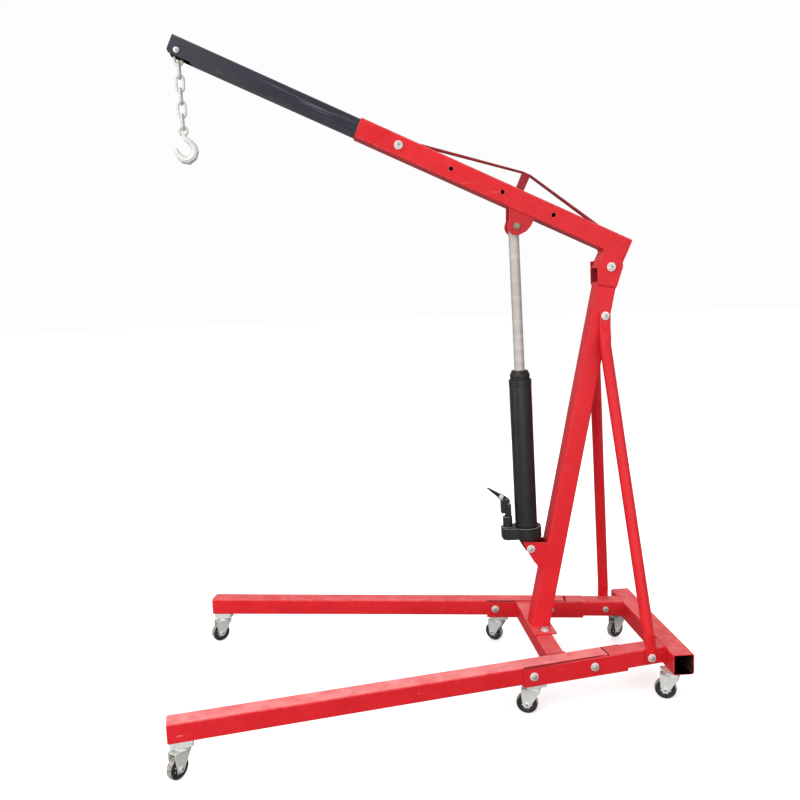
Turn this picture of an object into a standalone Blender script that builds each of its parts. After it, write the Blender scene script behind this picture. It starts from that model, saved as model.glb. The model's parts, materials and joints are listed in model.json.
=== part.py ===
"""Folding workshop engine hoist: a welded base on six swivel casters, two folding
legs, a leaning mast with rear braces, and a telescopic boom raised by a long-ram jack.

Metres, +Z up. The boom points along -X, the operator stands at +X and left is -Y.
The origin is the centre of the rear cross tube's back face. The design places below are
counted from the floor under the middle of that tube, and one empty carries them all.
"""
import bpy
import bmesh
from math import atan2, cos, pi, radians, sin, tau
from mathutils import Matrix, Vector

NAME = "engine_hoist"

# ---- driving dimensions -------------------------------------------------------------
GAP = 0.0003                     # air left between neighbouring solids
WALL = 0.004                     # tube wall

# base: rails that splay outwards to the front, seen in their own frames
RAIL_SPLAY = radians(10.0)
RAIL_ROOT_Y = 0.1885             # rail centre line at the rear cross tube
RAIL_TUBE = 0.060                # outside of the leg and stub tubes
LEG_Z = 0.1460                   # height of the leg's centre line
PIVOT_Z = 0.1435                 # height of the base's bolts
LEG_FRONT = -1.637               # places along the rail, negative to the front
LEG_REAR = -0.2467
LEG_LOCK = -0.5128
LEG_PIVOT = -0.3006
BRACE_FOOT = -0.0952
CHANNEL_FRONT = -0.545
CHANNEL_REAR = -0.1785
CHANNEL_FLOOR_END = -0.372       # the floor stops here so the leg's heel can swing
CHANNEL_BOTTOM = 0.109
CHANNEL_TOP = 0.172
CHANNEL_INSIDE = 0.0315          # half of the width between the side plates
SWING_RADIUS = 0.0637            # clear circle around the leg pivot

REAR_TUBE = 0.070
REAR_TUBE_HALF = 0.295
REAR_TUBE_Z = 0.138
CROSS_X = -0.404
CROSS_SIZE = 0.060
CROSS_Z = 0.143
FOOT_PLATE = (-0.440, -0.360, 0.082, 0.0067)   # front, rear, half width, thickness

# mast
BOOM_PIVOT = Vector((-0.154, 0.0, 1.427))
MAST_LEAN = radians(11.4)
MAST_DEPTH = 0.065
MAST_WIDTH = 0.068
MAST_TOP = -0.0545               # below the boom pivot, along the mast
BRACE_TOP = (-0.1754, 1.2656)    # x, z of the bolt that holds both braces

# boom, along u (forwards) and v (upwards) from its pivot
BOOM_ANGLE = radians(24.7)
BOOM_WIDTH = 0.067
BOOM_LOW = 0.045
BOOM_HIGH = 0.111
BOOM_FRONT = 0.9446
BOOM_REAR = -0.033
NECK_FRONT = 0.042
NECK_LOW = -0.020
HOLE_V = 0.0786
HOLE_FIRST = 0.804
HOLE_STEP = 0.1854
HOLE_COUNT = 4
EXTENSION_TAIL = 0.740
EXTENSION_TIP = 1.5756
EXTENSION_PLAY = 0.0006
TIP_BOLT = (1.5465, 0.0658)
RAM_PIN = (0.346, -0.002)

# jack, in a frame at its foot pin whose z axis runs to the ram pin
JACK_FOOT = Vector((-0.436, 0.0, 0.469))
RAM_AXIS_X = -0.005
CYLINDER_RADIUS = 0.0385
CYLINDER_BORE = 0.031
CYLINDER_FROM = 0.076
CYLINDER_TO = 0.591
RAM_RADIUS = 0.0175
PISTON_FROM = 0.540
PISTON_TO = 0.572
BASE_REACH = 0.0920               # from the foot pin forwards to the pump's nose
PUMP_X = -0.0705
PUMP_BARREL_TOP = 0.114
LEVER_PIVOT = (-0.0655, 0.1560)

# bolts
BOLT_RADIUS = 0.007
BOLT_WASHER = 0.014
PIN_RADIUS = 0.008
TIP_RADIUS = 0.0055
HOLE_PLAY = 0.0003

# casters
WHEEL_RADIUS = 0.0355
WHEEL_WIDTH = 0.023
TRAIL = 0.022
PLATE_UNDERSIDE = 0.0977
FRONT_SWIVEL = -1.5980           # along the rail
MIDDLE_SWIVEL = -0.4985
REAR_SWIVEL = (-0.018, 0.2515)
SWIVEL_HEADINGS = {
    "front_left": -127.7,
    "front_right": -150.1,
    "middle_left": 162.0,
    "middle_right": 140.0,
    "rear_left": 157.0,
    "rear_right": -154.5,
}

# chain and hook
LINK_WIRE = 0.0045               # radius of the link's bar
LINK_INSIDE_WIDTH = 0.015
LINK_INSIDE_LENGTH = 0.0395
LINK_COUNT = 6
HOOK_EYE_RADIUS = 0.0125
HOOK_EYE_WIRE = 0.005

SIDES = {"left": -1, "right": 1}

# ---- scene and helpers --------------------------------------------------------------
for old in list(bpy.data.objects):
    bpy.data.objects.remove(old, do_unlink=True)

parts = bpy.data.collections.new(NAME)
cutters = bpy.data.collections.new(NAME + "_cutters")
bpy.context.scene.collection.children.link(parts)
bpy.context.scene.collection.children.link(cutters)


def make_material(name, colour, roughness, metallic):
    material = bpy.data.materials.new(name)
    material.use_nodes = True
    shader = material.node_tree.nodes["Principled BSDF"]
    shader.inputs["Base Color"].default_value = (*colour, 1.0)
    shader.inputs["Roughness"].default_value = roughness
    shader.inputs["Metallic"].default_value = metallic
    return material


RED = make_material("red_paint", (0.68, 0.022, 0.026), 0.38, 0.0)
BLACK = make_material("black_paint", (0.028, 0.027, 0.030), 0.42, 0.0)
ZINC = make_material("zinc_plate", (0.72, 0.71, 0.68), 0.32, 1.0)
CHROME = make_material("ram_steel", (0.66, 0.62, 0.58), 0.25, 1.0)
RUBBER = make_material("wheel_black", (0.022, 0.020, 0.022), 0.55, 0.0)


def frame(name, location, rotation=(0.0, 0.0, 0.0), parent=None):
    """An empty that carries a group of pieces."""
    empty = bpy.data.objects.new(name, None)
    parts.objects.link(empty)
    empty.parent = parent
    empty.location = location
    empty.rotation_euler = rotation
    return empty


HOIST = frame("hoist_frame", (-REAR_TUBE / 2, 0.0, -REAR_TUBE_Z))


def place(obj, name, material, parent=None, location=(0, 0, 0), rotation=(0, 0, 0)):
    """Name a finished piece, paint it and hang it on its frame, or else on the hoist's."""
    obj.name = name
    obj.data.name = name
    obj.data.materials.clear()
    obj.data.materials.append(material)
    obj.parent = parent or HOIST
    obj.location = location
    obj.rotation_euler = rotation
    for collection in list(obj.users_collection):
        collection.objects.unlink(obj)
    parts.objects.link(obj)
    obj.hide_render = False
    obj.display_type = "TEXTURED"
    return obj


def from_bmesh(bm, name="shape"):
    bmesh.ops.recalc_face_normals(bm, faces=bm.faces)
    mesh = bpy.data.meshes.new(name)
    bm.to_mesh(mesh)
    bm.free()
    obj = bpy.data.objects.new(name, mesh)
    cutters.objects.link(obj)
    obj.hide_render = True
    obj.display_type = "WIRE"
    return obj


def block(low, high):
    """A box between two corners."""
    low = Vector(low)
    high = Vector(high)
    bm = bmesh.new()
    bmesh.ops.create_cube(bm, size=1.0)
    bmesh.ops.scale(bm, vec=high - low, verts=bm.verts)
    bmesh.ops.translate(bm, vec=(low + high) / 2, verts=bm.verts)
    return from_bmesh(bm)


def rod(start, end, radius, segments=16, end_radius=None):
    """A round bar, or a cone, between two points."""
    start = Vector(start)
    end = Vector(end)
    axis = end - start
    turn = axis.to_track_quat("Z", "Y").to_matrix().to_4x4()
    bm = bmesh.new()
    bmesh.ops.create_cone(
        bm, cap_ends=True, segments=segments, radius1=radius,
        radius2=radius if end_radius is None else end_radius, depth=axis.length,
        matrix=Matrix.Translation((start + end) / 2) @ turn)
    return from_bmesh(bm)


def cross_rod(x, z, half, radius, segments=12):
    """A round bar across the object, along Y."""
    return rod((x, -half, z), (x, half, z), radius, segments)


def turned(profile, segments=24, turn=(0, 0, 0)):
    """A solid of revolution about Z from a closed profile of (radius, height)."""
    bm = bmesh.new()
    corners = [bm.verts.new((radius, 0.0, height)) for radius, height in profile]
    bm.faces.new(corners)
    bmesh.ops.spin(bm, geom=bm.faces[:] + bm.edges[:] + bm.verts[:], cent=(0, 0, 0),
                   axis=(0, 0, 1), angle=tau, steps=segments, use_merge=True)
    bmesh.ops.remove_doubles(bm, verts=bm.verts, dist=0.00001)
    inner = [face for face in bm.faces if len(face.verts) == len(profile) > 4]
    bmesh.ops.delete(bm, geom=inner, context="FACES_ONLY")
    obj = from_bmesh(bm)
    obj.rotation_euler = turn
    return obj


def turned_solid(profile, segments=24):
    """A turned solid whose profile touches the axis at both ends, by a Screw modifier."""
    mesh = bpy.data.meshes.new("profile")
    points = [(radius, 0.0, height) for radius, height in profile]
    edges = [(i, i + 1) for i in range(len(points) - 1)]
    mesh.from_pydata(points, edges, [])
    obj = bpy.data.objects.new("profile", mesh)
    cutters.objects.link(obj)
    screw = obj.modifiers.new("turn", "SCREW")
    screw.axis = "Z"
    screw.steps = segments
    screw.render_steps = segments
    screw.use_merge_vertices = True
    screw.merge_threshold = 0.00001
    return baked(obj)


def sheet(outline, low_y, high_y):
    """A flat plate: an outline in x and z, thick from low_y to high_y."""
    curve = bpy.data.curves.new("outline", "CURVE")
    curve.dimensions = "2D"
    curve.fill_mode = "BOTH"
    curve.extrude = (high_y - low_y) / 2
    spline = curve.splines.new("POLY")
    spline.points.add(len(outline) - 1)
    for point, (x, z) in zip(spline.points, outline):
        point.co = (x, z, 0.0, 1.0)
    spline.use_cyclic_u = True
    obj = bpy.data.objects.new("outline", curve)
    cutters.objects.link(obj)
    solid = baked(obj)
    solid.data.transform(Matrix.Translation((0, (low_y + high_y) / 2, 0))
                         @ Matrix.Rotation(pi / 2, 4, "X"))
    return solid


def bent_bar(points, radii, closed=False, sides=2):
    """A round bar through points, with a radius at each."""
    curve = bpy.data.curves.new("bar", "CURVE")
    curve.dimensions = "3D"
    curve.bevel_depth = 1.0
    curve.bevel_resolution = sides
    curve.use_fill_caps = True
    spline = curve.splines.new("POLY")
    spline.points.add(len(points) - 1)
    for point, place_at, radius in zip(spline.points, points, radii):
        point.co = (*place_at, 1.0)
        point.radius = radius
    spline.use_cyclic_u = closed
    obj = bpy.data.objects.new("bar", curve)
    cutters.objects.link(obj)
    return baked(obj)


def baked(obj):
    """The object with its curve or modifiers turned into a plain closed mesh."""
    bpy.context.view_layer.update()
    evaluated = obj.evaluated_get(bpy.context.evaluated_depsgraph_get())
    mesh = bpy.data.meshes.new_from_object(evaluated)
    bm = bmesh.new()
    bm.from_mesh(mesh)
    bmesh.ops.remove_doubles(bm, verts=bm.verts, dist=0.00001)
    bpy.data.meshes.remove(mesh)
    matrix = obj.matrix_world.copy()
    bpy.data.objects.remove(obj, do_unlink=True)
    result = from_bmesh(bm)
    result.matrix_world = matrix
    return result


def boolean(target, tool, operation):
    modifier = target.modifiers.new(operation.lower(), "BOOLEAN")
    modifier.operation = operation
    modifier.solver = "EXACT"
    modifier.object = tool
    bpy.context.view_layer.update()
    result = baked(target)
    bpy.data.objects.remove(tool, do_unlink=True)
    return result


def cut(target, *tools):
    for tool in tools:
        target = boolean(target, tool, "DIFFERENCE")
    return target


def join(target, *pieces):
    for piece in pieces:
        target = boolean(target, piece, "UNION")
    return target


def moved(obj, matrix):
    """The shape with a matrix put into its mesh."""
    obj.data.transform(matrix)
    return obj


def arc(centre_x, centre_z, radius, start, end, steps):
    """Points on an arc, angles in degrees."""
    angles = [radians(start + (end - start) * i / steps) for i in range(steps + 1)]
    return [(centre_x + radius * cos(a), centre_z + radius * sin(a)) for a in angles]


def bolt(grip, radius=BOLT_RADIUS, washer=BOLT_WASHER, nut=True, segments=10):
    """A bolt along +Z: its washer's face is at z = 0 and the shank runs up to the grip."""
    hexagon = washer * 0.8
    head = radius * 1.2
    profile = [(0.0, grip), (radius, grip), (radius, 0.0), (washer, 0.0),
               (washer, -0.002), (hexagon, -0.002), (hexagon, -0.002 - head),
               (0.0, -0.002 - head)]
    if nut:
        nut_end = grip + head
        profile[0:2] = [(0.0, nut_end), (hexagon, nut_end), (hexagon, grip),
                        (radius, grip)]
    return turned_solid(profile, segments)


def bolt_along_y(grip, side, **shape):
    """A bolt whose head is on the given side and whose shank points to the other side."""
    return moved(bolt(grip, **shape), Matrix.Rotation(side * pi / 2, 4, "X"))


# ---- frames -------------------------------------------------------------------------
def rail_matrix(side):
    turn = Matrix.Rotation(-side * RAIL_SPLAY, 4, "Z")
    return Matrix.Translation((0.0, side * RAIL_ROOT_Y, 0.0)) @ turn


def boom_point(u, v):
    """World place of a point on the boom's middle plane."""
    x = BOOM_PIVOT.x - u * cos(BOOM_ANGLE) + v * sin(BOOM_ANGLE)
    z = BOOM_PIVOT.z + u * sin(BOOM_ANGLE) + v * cos(BOOM_ANGLE)
    return Vector((x, 0.0, z))


RAM_TOP = boom_point(*RAM_PIN)
JACK_LENGTH = (RAM_TOP - JACK_FOOT).length
JACK_TILT = atan2(RAM_TOP.x - JACK_FOOT.x, RAM_TOP.z - JACK_FOOT.z)
TIP = boom_point(*TIP_BOLT)
MAST_MATRIX = Matrix.Translation(BOOM_PIVOT) @ Matrix.Rotation(MAST_LEAN, 4, "Y")

rails = {name: frame(name + "_rail_frame", (0.0, side * RAIL_ROOT_Y, 0.0),
                     (0.0, 0.0, -side * RAIL_SPLAY), HOIST) for name, side in SIDES.items()}
boom_frame = frame("boom_frame", BOOM_PIVOT, (0.0, BOOM_ANGLE, 0.0), HOIST)
jack_frame = frame("jack_frame", JACK_FOOT, (0.0, JACK_TILT, 0.0), HOIST)


# ---- base ---------------------------------------------------------------------------
def square_tube(low, high, axis, wall=WALL):
    """A tube open at both ends along one axis (0, 1 or 2)."""
    inner_low = [value + wall for value in low]
    inner_high = [value - wall for value in high]
    inner_low[axis] = low[axis] - wall
    inner_high[axis] = high[axis] + wall
    return cut(block(low, high), block(inner_low, inner_high))


def build_rear_cross_tube():
    half = REAR_TUBE / 2
    tube = square_tube((-half, -REAR_TUBE_HALF, REAR_TUBE_Z - half),
                       (half, REAR_TUBE_HALF, REAR_TUBE_Z + half), axis=1)
    place(tube, "rear_cross_tube", RED)


def build_stub_tube(name, side):
    half = RAIL_TUBE / 2
    tube = square_tube((LEG_PIVOT, -half, PIVOT_Z - half), (0.03, half, PIVOT_Z + half), 0)
    inverse = rail_matrix(side).inverted()
    reach = 0.2
    behind = block((-REAR_TUBE / 2 - GAP, -reach, -reach), (reach, reach, reach))
    behind = moved(behind, inverse @ Matrix.Translation((0, side * RAIL_ROOT_Y, PIVOT_Z)))
    swing = cross_rod(LEG_PIVOT, PIVOT_Z, 2 * half, SWING_RADIUS, 48)
    bolt_hole = cross_rod(BRACE_FOOT, PIVOT_Z, 2 * half, BOLT_RADIUS + HOLE_PLAY)
    place(cut(tube, behind, swing, bolt_hole), name + "_stub_tube", RED, rails[name])


def build_side_channel(name):
    outside = CHANNEL_INSIDE + WALL
    shell = block((CHANNEL_FRONT, -outside, CHANNEL_BOTTOM),
                  (CHANNEL_REAR, outside, CHANNEL_TOP))
    trough = block((CHANNEL_FRONT - WALL, -CHANNEL_INSIDE, CHANNEL_BOTTOM + WALL),
                   (CHANNEL_REAR + WALL, CHANNEL_INSIDE, CHANNEL_TOP + WALL))
    heel_slot = block((CHANNEL_FLOOR_END, -CHANNEL_INSIDE, CHANNEL_BOTTOM - WALL),
                      (CHANNEL_REAR + WALL, CHANNEL_INSIDE, CHANNEL_TOP))
    hole = BOLT_RADIUS + HOLE_PLAY
    channel = cut(shell, trough, heel_slot,
                  cross_rod(LEG_PIVOT, PIVOT_Z, 2 * outside, hole),
                  cross_rod(LEG_LOCK, PIVOT_Z, 2 * outside, hole))
    place(channel, name + "_side_channel", RED, rails[name])


def build_cross_member():
    half = CROSS_SIZE / 2
    reach = RAIL_ROOT_Y - CROSS_X * sin(RAIL_SPLAY)
    tube = square_tube((CROSS_X - half, -reach, CROSS_Z - half),
                       (CROSS_X + half, reach, CROSS_Z + half), axis=1)
    outside = CHANNEL_INSIDE + WALL + GAP
    for side in SIDES.values():
        envelope = block((CHANNEL_FRONT, -outside, 0.0), (CHANNEL_REAR, outside, 0.3))
        tube = cut(tube, moved(envelope, rail_matrix(side)))
        x, y = foot_bolt_place(side)
        tube = cut(tube, rod((x, y, CROSS_Z), (x, y, 0.2), BOLT_RADIUS + HOLE_PLAY))
    place(tube, "cross_member", RED)


def foot_bolt_place(side):
    front, rear, half, _ = FOOT_PLATE
    return (front + rear) / 2 + 0.004, side * (half + MAST_WIDTH / 2) / 2


def build_foot_bolts():
    top = CROSS_Z + CROSS_SIZE / 2 + GAP + FOOT_PLATE[3] + GAP
    for name, side in SIDES.items():
        x, y = foot_bolt_place(side)
        piece = moved(bolt(0.018, nut=False), Matrix.Rotation(pi, 4, "X"))
        place(piece, name + "_foot_bolt", ZINC, None, (x, y, top))


# ---- mast ---------------------------------------------------------------------------
def around(origin, offsets):
    """An outline in world x and z from its offsets to a point."""
    return [(origin.x + x, origin.z + z) for x, z in offsets]


def ear_outline():
    """Side plate that carries the boom pivot and ends on the top of the mast."""
    bulge = arc(0.0, 0.0030, 0.0405, -28.0, 35.0, 5)
    return around(BOOM_PIVOT, [(-0.0450, -0.0540), (0.0198, -0.0665), *bulge,
                               (0.0380, 0.0316), (-0.0464, 0.0217)])


def lug_outline():
    """Side plate that carries the jack's foot pin."""
    return around(JACK_FOOT, [(-0.028, 0.027), (-0.017, -0.002), (0.000, -0.025),
                              (0.029, -0.074), (0.043, -0.074), (0.061, 0.018)])


def build_mast():
    half_x = MAST_DEPTH / 2
    half_y = MAST_WIDTH / 2
    tube = square_tube((-half_x, -half_y, -BOOM_PIVOT.z), (half_x, half_y, MAST_TOP), axis=2)
    tube = moved(tube, MAST_MATRIX)
    front, rear, half, thick = FOOT_PLATE
    plate_low = CROSS_Z + CROSS_SIZE / 2 + GAP
    ground = block((-0.6, -0.2, -0.1), (-0.2, 0.2, plate_low + thick / 2))
    tube = cut(tube, ground)
    foot = block((front, -half, plate_low), (rear, half, plate_low + thick))
    for side in SIDES.values():
        x, y = foot_bolt_place(side)
        foot = cut(foot, rod((x, y, 0.1), (x, y, 0.2), BOLT_RADIUS + HOLE_PLAY))
    mast = join(tube, foot)
    for side in SIDES.values():
        ear_from, ear_to = sorted((side * (half_y - 0.0001), side * (half_y + 0.0058)))
        ear = sheet(ear_outline(), ear_from, ear_to)
        lug_from, lug_to = sorted((side * 0.0275, side * 0.0335))
        lug = sheet(lug_outline(), lug_from, lug_to)
        mast = join(mast, ear, lug)
    mast = cut(mast,
               cross_rod(BOOM_PIVOT.x, BOOM_PIVOT.z, 0.1, PIN_RADIUS + HOLE_PLAY, 14),
               cross_rod(BRACE_TOP[0], BRACE_TOP[1], 0.1, BOLT_RADIUS + HOLE_PLAY),
               cross_rod(JACK_FOOT.x, JACK_FOOT.z, 0.1, BOLT_RADIUS + HOLE_PLAY))
    place(mast, "mast", RED)


def flattened_tube(stations, segments=14):
    """A loft of ovals: (centre, along, across, half width, half thickness) of each."""
    bm = bmesh.new()
    rings = []
    for centre, along, across, wide, thick in stations:
        across = (across - along * across.dot(along)).normalized()
        outwards = along.cross(across)
        ring = []
        for step in range(segments):
            angle = tau * step / segments
            offset = across * wide * cos(angle) + outwards * thick * sin(angle)
            ring.append(bm.verts.new(centre + offset))
        rings.append(ring)
    for lower, upper in zip(rings, rings[1:]):
        for step in range(segments):
            after = (step + 1) % segments
            bm.faces.new((lower[step], lower[after], upper[after], upper[step]))
    bm.faces.new(rings[0])
    bm.faces.new(rings[-1])
    return from_bmesh(bm)


BRACE_TUBE = 0.019               # radius of the round part
BRACE_FLAT_WIDE = 0.0195         # half width of a flattened end
BRACE_FLAT_THICK = 0.0045        # half thickness of a flattened end
BRACE_FLAT_LENGTH = 0.036        # from the bolt to where the flat starts to swell
BRACE_ROUND_FROM = 0.100         # from the bolt to where the tube is round
BRACE_FOOT_ROUND_FROM = 0.084
BRACE_END_RISES = (0.0, 0.0100, 0.0165, 0.0188)


def brace_foot_point(side):
    offset = side * (RAIL_TUBE / 2 + GAP + BRACE_FLAT_THICK)
    return rail_matrix(side) @ Vector((BRACE_FOOT, offset, PIVOT_Z))


def build_brace(name, side):
    offset = MAST_WIDTH / 2 + GAP + BRACE_FLAT_THICK
    top = Vector((BRACE_TOP[0], side * offset, BRACE_TOP[1]))
    foot = brace_foot_point(side)
    down = Vector((0.0, 0.0, -1.0))
    level = Vector((1.0, 0.0, 0.0))
    rail = rail_matrix(side).to_3x3() @ level
    top_round = top + Vector((-0.005, side * 0.020, -BRACE_ROUND_FROM))
    foot_round = foot + Vector((-0.0050, -side * 0.0150, BRACE_FOOT_ROUND_FROM))
    run = (foot_round - top_round).normalized()

    def end_wide(rise):
        """Half width near the tip: square with rounded corners."""
        return BRACE_FLAT_WIDE * (1.0 - (rise / BRACE_FLAT_WIDE) ** 4) ** 0.25

    stations = [(top - down * rise, down, level, end_wide(rise), BRACE_FLAT_THICK)
                for rise in reversed(BRACE_END_RISES)]
    stations += [
        (top + down * BRACE_FLAT_LENGTH, down, level, BRACE_FLAT_WIDE, BRACE_FLAT_THICK),
        (top_round, run, level, BRACE_TUBE, BRACE_TUBE),
        (foot_round, run, level, BRACE_TUBE, BRACE_TUBE),
        (foot - down * BRACE_FLAT_LENGTH, down, rail, BRACE_FLAT_WIDE, BRACE_FLAT_THICK)]
    stations += [(foot + down * drop, down, rail, end_wide(drop), BRACE_FLAT_THICK)
                 for drop in BRACE_END_RISES]
    tube = flattened_tube(stations)
    hole = BOLT_RADIUS + HOLE_PLAY
    outwards = rail_matrix(side).to_3x3() @ Vector((0.0, 0.05, 0.0))
    tube = cut(tube, cross_rod(top.x, top.z, 0.1, hole),
               rod(foot - outwards, foot + outwards, hole))
    place(tube, name + "_brace", RED)


def build_base_bolts():
    """Cross bolts of the mast and base; every head is on the outer or left side."""
    ear_out = MAST_WIDTH / 2 + 0.0058 + GAP
    pivot = bolt_along_y(2 * ear_out, -1, radius=PIN_RADIUS, washer=0.0147)
    place(pivot, "boom_pivot_bolt", ZINC, None, BOOM_PIVOT + Vector((0, -ear_out, 0)))
    brace_out = MAST_WIDTH / 2 + GAP + 2 * BRACE_FLAT_THICK + GAP
    brace = bolt_along_y(2 * brace_out, -1)
    place(brace, "brace_top_bolt", ZINC, None, (BRACE_TOP[0], -brace_out, BRACE_TOP[1]))
    lug_out = 0.0335 + GAP
    pin = bolt_along_y(2 * lug_out, -1)
    place(pin, "jack_foot_pin", ZINC, None, JACK_FOOT + Vector((0, -lug_out, 0)))
    channel_out = CHANNEL_INSIDE + WALL + GAP
    stub_out = RAIL_TUBE / 2 + GAP
    brace_face = stub_out + 2 * BRACE_FLAT_THICK + GAP
    for name, side in SIDES.items():
        hinge = bolt_along_y(2 * channel_out, side)
        place(hinge, name + "_leg_pivot_bolt", ZINC, rails[name],
              (LEG_PIVOT, side * channel_out, PIVOT_Z))
        lock = bolt_along_y(WALL, side, nut=False)
        place(lock, name + "_leg_lock_bolt", ZINC, rails[name],
              (LEG_LOCK, side * channel_out, PIVOT_Z))
        foot = bolt_along_y(brace_face + stub_out, side)
        place(foot, name + "_brace_bolt", ZINC, rails[name],
              (BRACE_FOOT, side * brace_face, PIVOT_Z))


# ---- legs ---------------------------------------------------------------------------
def build_leg(name):
    half = RAIL_TUBE / 2
    low = LEG_Z - PIVOT_Z - half
    high = LEG_Z - PIVOT_Z + half
    tube = square_tube((LEG_FRONT - LEG_PIVOT, -half, low),
                       (LEG_REAR - LEG_PIVOT, half, high), axis=0)
    tube = cut(tube, cross_rod(0.0, 0.0, 2 * half, BOLT_RADIUS + HOLE_PLAY),
               cross_rod(LEG_LOCK - LEG_PIVOT, 0.0, 2 * half, BOLT_RADIUS + HOLE_PLAY))
    place(tube, name + "_leg", RED, rails[name], (LEG_PIVOT, 0.0, PIVOT_Z))


# ---- casters ------------------------------------------------------------------------
def fork_mesh():
    """Fork with its ball race and axle; +X is the side the wheel trails to."""
    inside = WHEEL_WIDTH / 2 + 0.0025
    outside = inside + 0.003
    head_low = 0.0825
    head_high = 0.0855
    cheek = [(-0.0210, head_high), (-0.0200, 0.077), (-0.0040, 0.054)]
    cheek += arc(TRAIL, WHEEL_RADIUS, 0.0140, 195.0, 345.0, 6)
    cheek += [(0.0395, 0.060), (0.0405, head_high)]
    cheeks = [sheet(cheek, *sorted((side * inside, side * outside))) for side in (-1, 1)]
    head = block((-0.0206, -outside + 0.0004, head_low), (0.0401, outside - 0.0004, head_high))
    race = rod((0, 0, head_high - 0.001), (0, 0, PLATE_UNDERSIDE - GAP), 0.0235, 14, 0.0175)
    axle = rod((TRAIL, -outside - 0.003, WHEEL_RADIUS), (TRAIL, outside + 0.003, WHEEL_RADIUS),
               0.005, 8)
    fork = join(head, cheeks[0], cheeks[1], race, axle)
    mesh = fork.data.copy()
    bpy.data.objects.remove(fork, do_unlink=True)
    return mesh


def wheel_mesh():
    """Wheel on its own axle, along Y; a flat of the rim rests on the floor."""
    segments = 20
    rim = WHEEL_RADIUS / cos(pi / segments)
    half = WHEEL_WIDTH / 2
    bore = 0.0055
    profile = [(bore, -half), (0.0300, -half + 0.001), (rim - 0.003, -half),
               (rim, -half + 0.003), (rim, half - 0.003), (rim - 0.003, half),
               (0.0300, half - 0.001), (bore, half)]
    wheel = turned(profile, segments)
    wheel.data.transform(Matrix.Rotation(pi / 2, 4, "X") @ Matrix.Rotation(pi / segments, 4, "Z"))
    mesh = wheel.data.copy()
    bpy.data.objects.remove(wheel, do_unlink=True)
    return mesh


def swivel_places():
    """World place of each swivel axis, and the height of the face it is fixed under."""
    places = {}
    for name, side in SIDES.items():
        front = rail_matrix(side) @ Vector((FRONT_SWIVEL, 0.0, 0.0))
        middle = rail_matrix(side) @ Vector((MIDDLE_SWIVEL, 0.0, 0.0))
        places["front_" + name] = (front, LEG_Z - RAIL_TUBE / 2, -side * RAIL_SPLAY)
        places["middle_" + name] = (middle, CHANNEL_BOTTOM, -side * RAIL_SPLAY)
        rear = Vector((REAR_SWIVEL[0], side * REAR_SWIVEL[1], 0.0))
        places["rear_" + name] = (rear, REAR_TUBE_Z - REAR_TUBE / 2, 0.0)
    return places


def build_casters():
    fork = fork_mesh()
    wheel = wheel_mesh()
    for name, (centre, mount, turn) in swivel_places().items():
        heading = radians(SWIVEL_HEADINGS[name])
        plate = block((-0.034, -0.029, PLATE_UNDERSIDE), (0.034, 0.029, mount - GAP))
        place(plate, name + "_caster_plate", ZINC, None, centre, (0, 0, turn))
        swivel = bpy.data.objects.new("fork", fork)
        place(swivel, name + "_caster_fork", ZINC, None, centre, (0, 0, heading))
        roller = bpy.data.objects.new("wheel", wheel)
        axle = Vector((TRAIL * cos(heading), TRAIL * sin(heading), WHEEL_RADIUS))
        place(roller, name + "_caster_wheel", RUBBER, None, centre + axle, (0, 0, heading))


# ---- boom ---------------------------------------------------------------------------
def boom_block(u_low, u_high, half_y, v_low, v_high):
    """A box in the boom's frame, whose x axis points backwards."""
    return block((-u_high, -half_y, v_low), (-u_low, half_y, v_high))


def build_boom():
    half = BOOM_WIDTH / 2
    tube = boom_block(BOOM_REAR, BOOM_FRONT, half, BOOM_LOW, BOOM_HIGH)
    bore = boom_block(0.120, BOOM_FRONT + 0.01, half - WALL, BOOM_LOW + WALL, BOOM_HIGH - WALL)
    neck = boom_block(BOOM_REAR, NECK_FRONT, half, NECK_LOW, BOOM_LOW + 0.010)
    neck_bore = boom_block(BOOM_REAR + WALL, NECK_FRONT - WALL, half - WALL,
                           NECK_LOW - 0.01, BOOM_LOW - 0.006)
    boom = cut(join(cut(tube, bore), neck), neck_bore)
    pin_u, pin_v = RAM_PIN
    tab = [(-0.394, BOOM_LOW + 0.0015), (-pin_u - 0.0300, pin_v + 0.0060)]
    tab += arc(-pin_u, pin_v, 0.0300, 185.0, 325.0, 8)
    tab += [(-0.3095, -0.005), (-0.3020, 0.0165), (-0.301, BOOM_LOW + 0.0015)]
    for side in SIDES.values():
        boom = join(boom, sheet(tab, *sorted((side * 0.022, side * 0.028))))
    boom = cut(boom, cross_rod(-pin_u, pin_v, 0.1, PIN_RADIUS + HOLE_PLAY, 14),
               cross_rod(0.0, 0.0, 0.1, PIN_RADIUS + HOLE_PLAY, 14))
    for index in range(HOLE_COUNT):
        u = HOLE_FIRST - index * HOLE_STEP
        boom = cut(boom, cross_rod(-u, HOLE_V, 0.1, BOLT_RADIUS + HOLE_PLAY))
    place(boom, "boom_tube", RED, boom_frame)


def build_truss_strap():
    """Bent flat bar over a post, which stiffens the top of the boom."""
    seat = BOOM_HIGH + GAP
    outline = [(-0.746, seat), (-0.740, seat + 0.0045), (-0.395, 0.1706), (-0.365, 0.1706),
               (-0.092, seat + 0.0045), (-0.086, seat), (-0.107, seat),
               (-0.3665, 0.1660), (-0.3675, seat), (-0.3925, seat), (-0.3935, 0.1660),
               (-0.722, seat)]
    place(sheet(outline, -0.010, 0.010), "truss_strap", RED, boom_frame)


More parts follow.
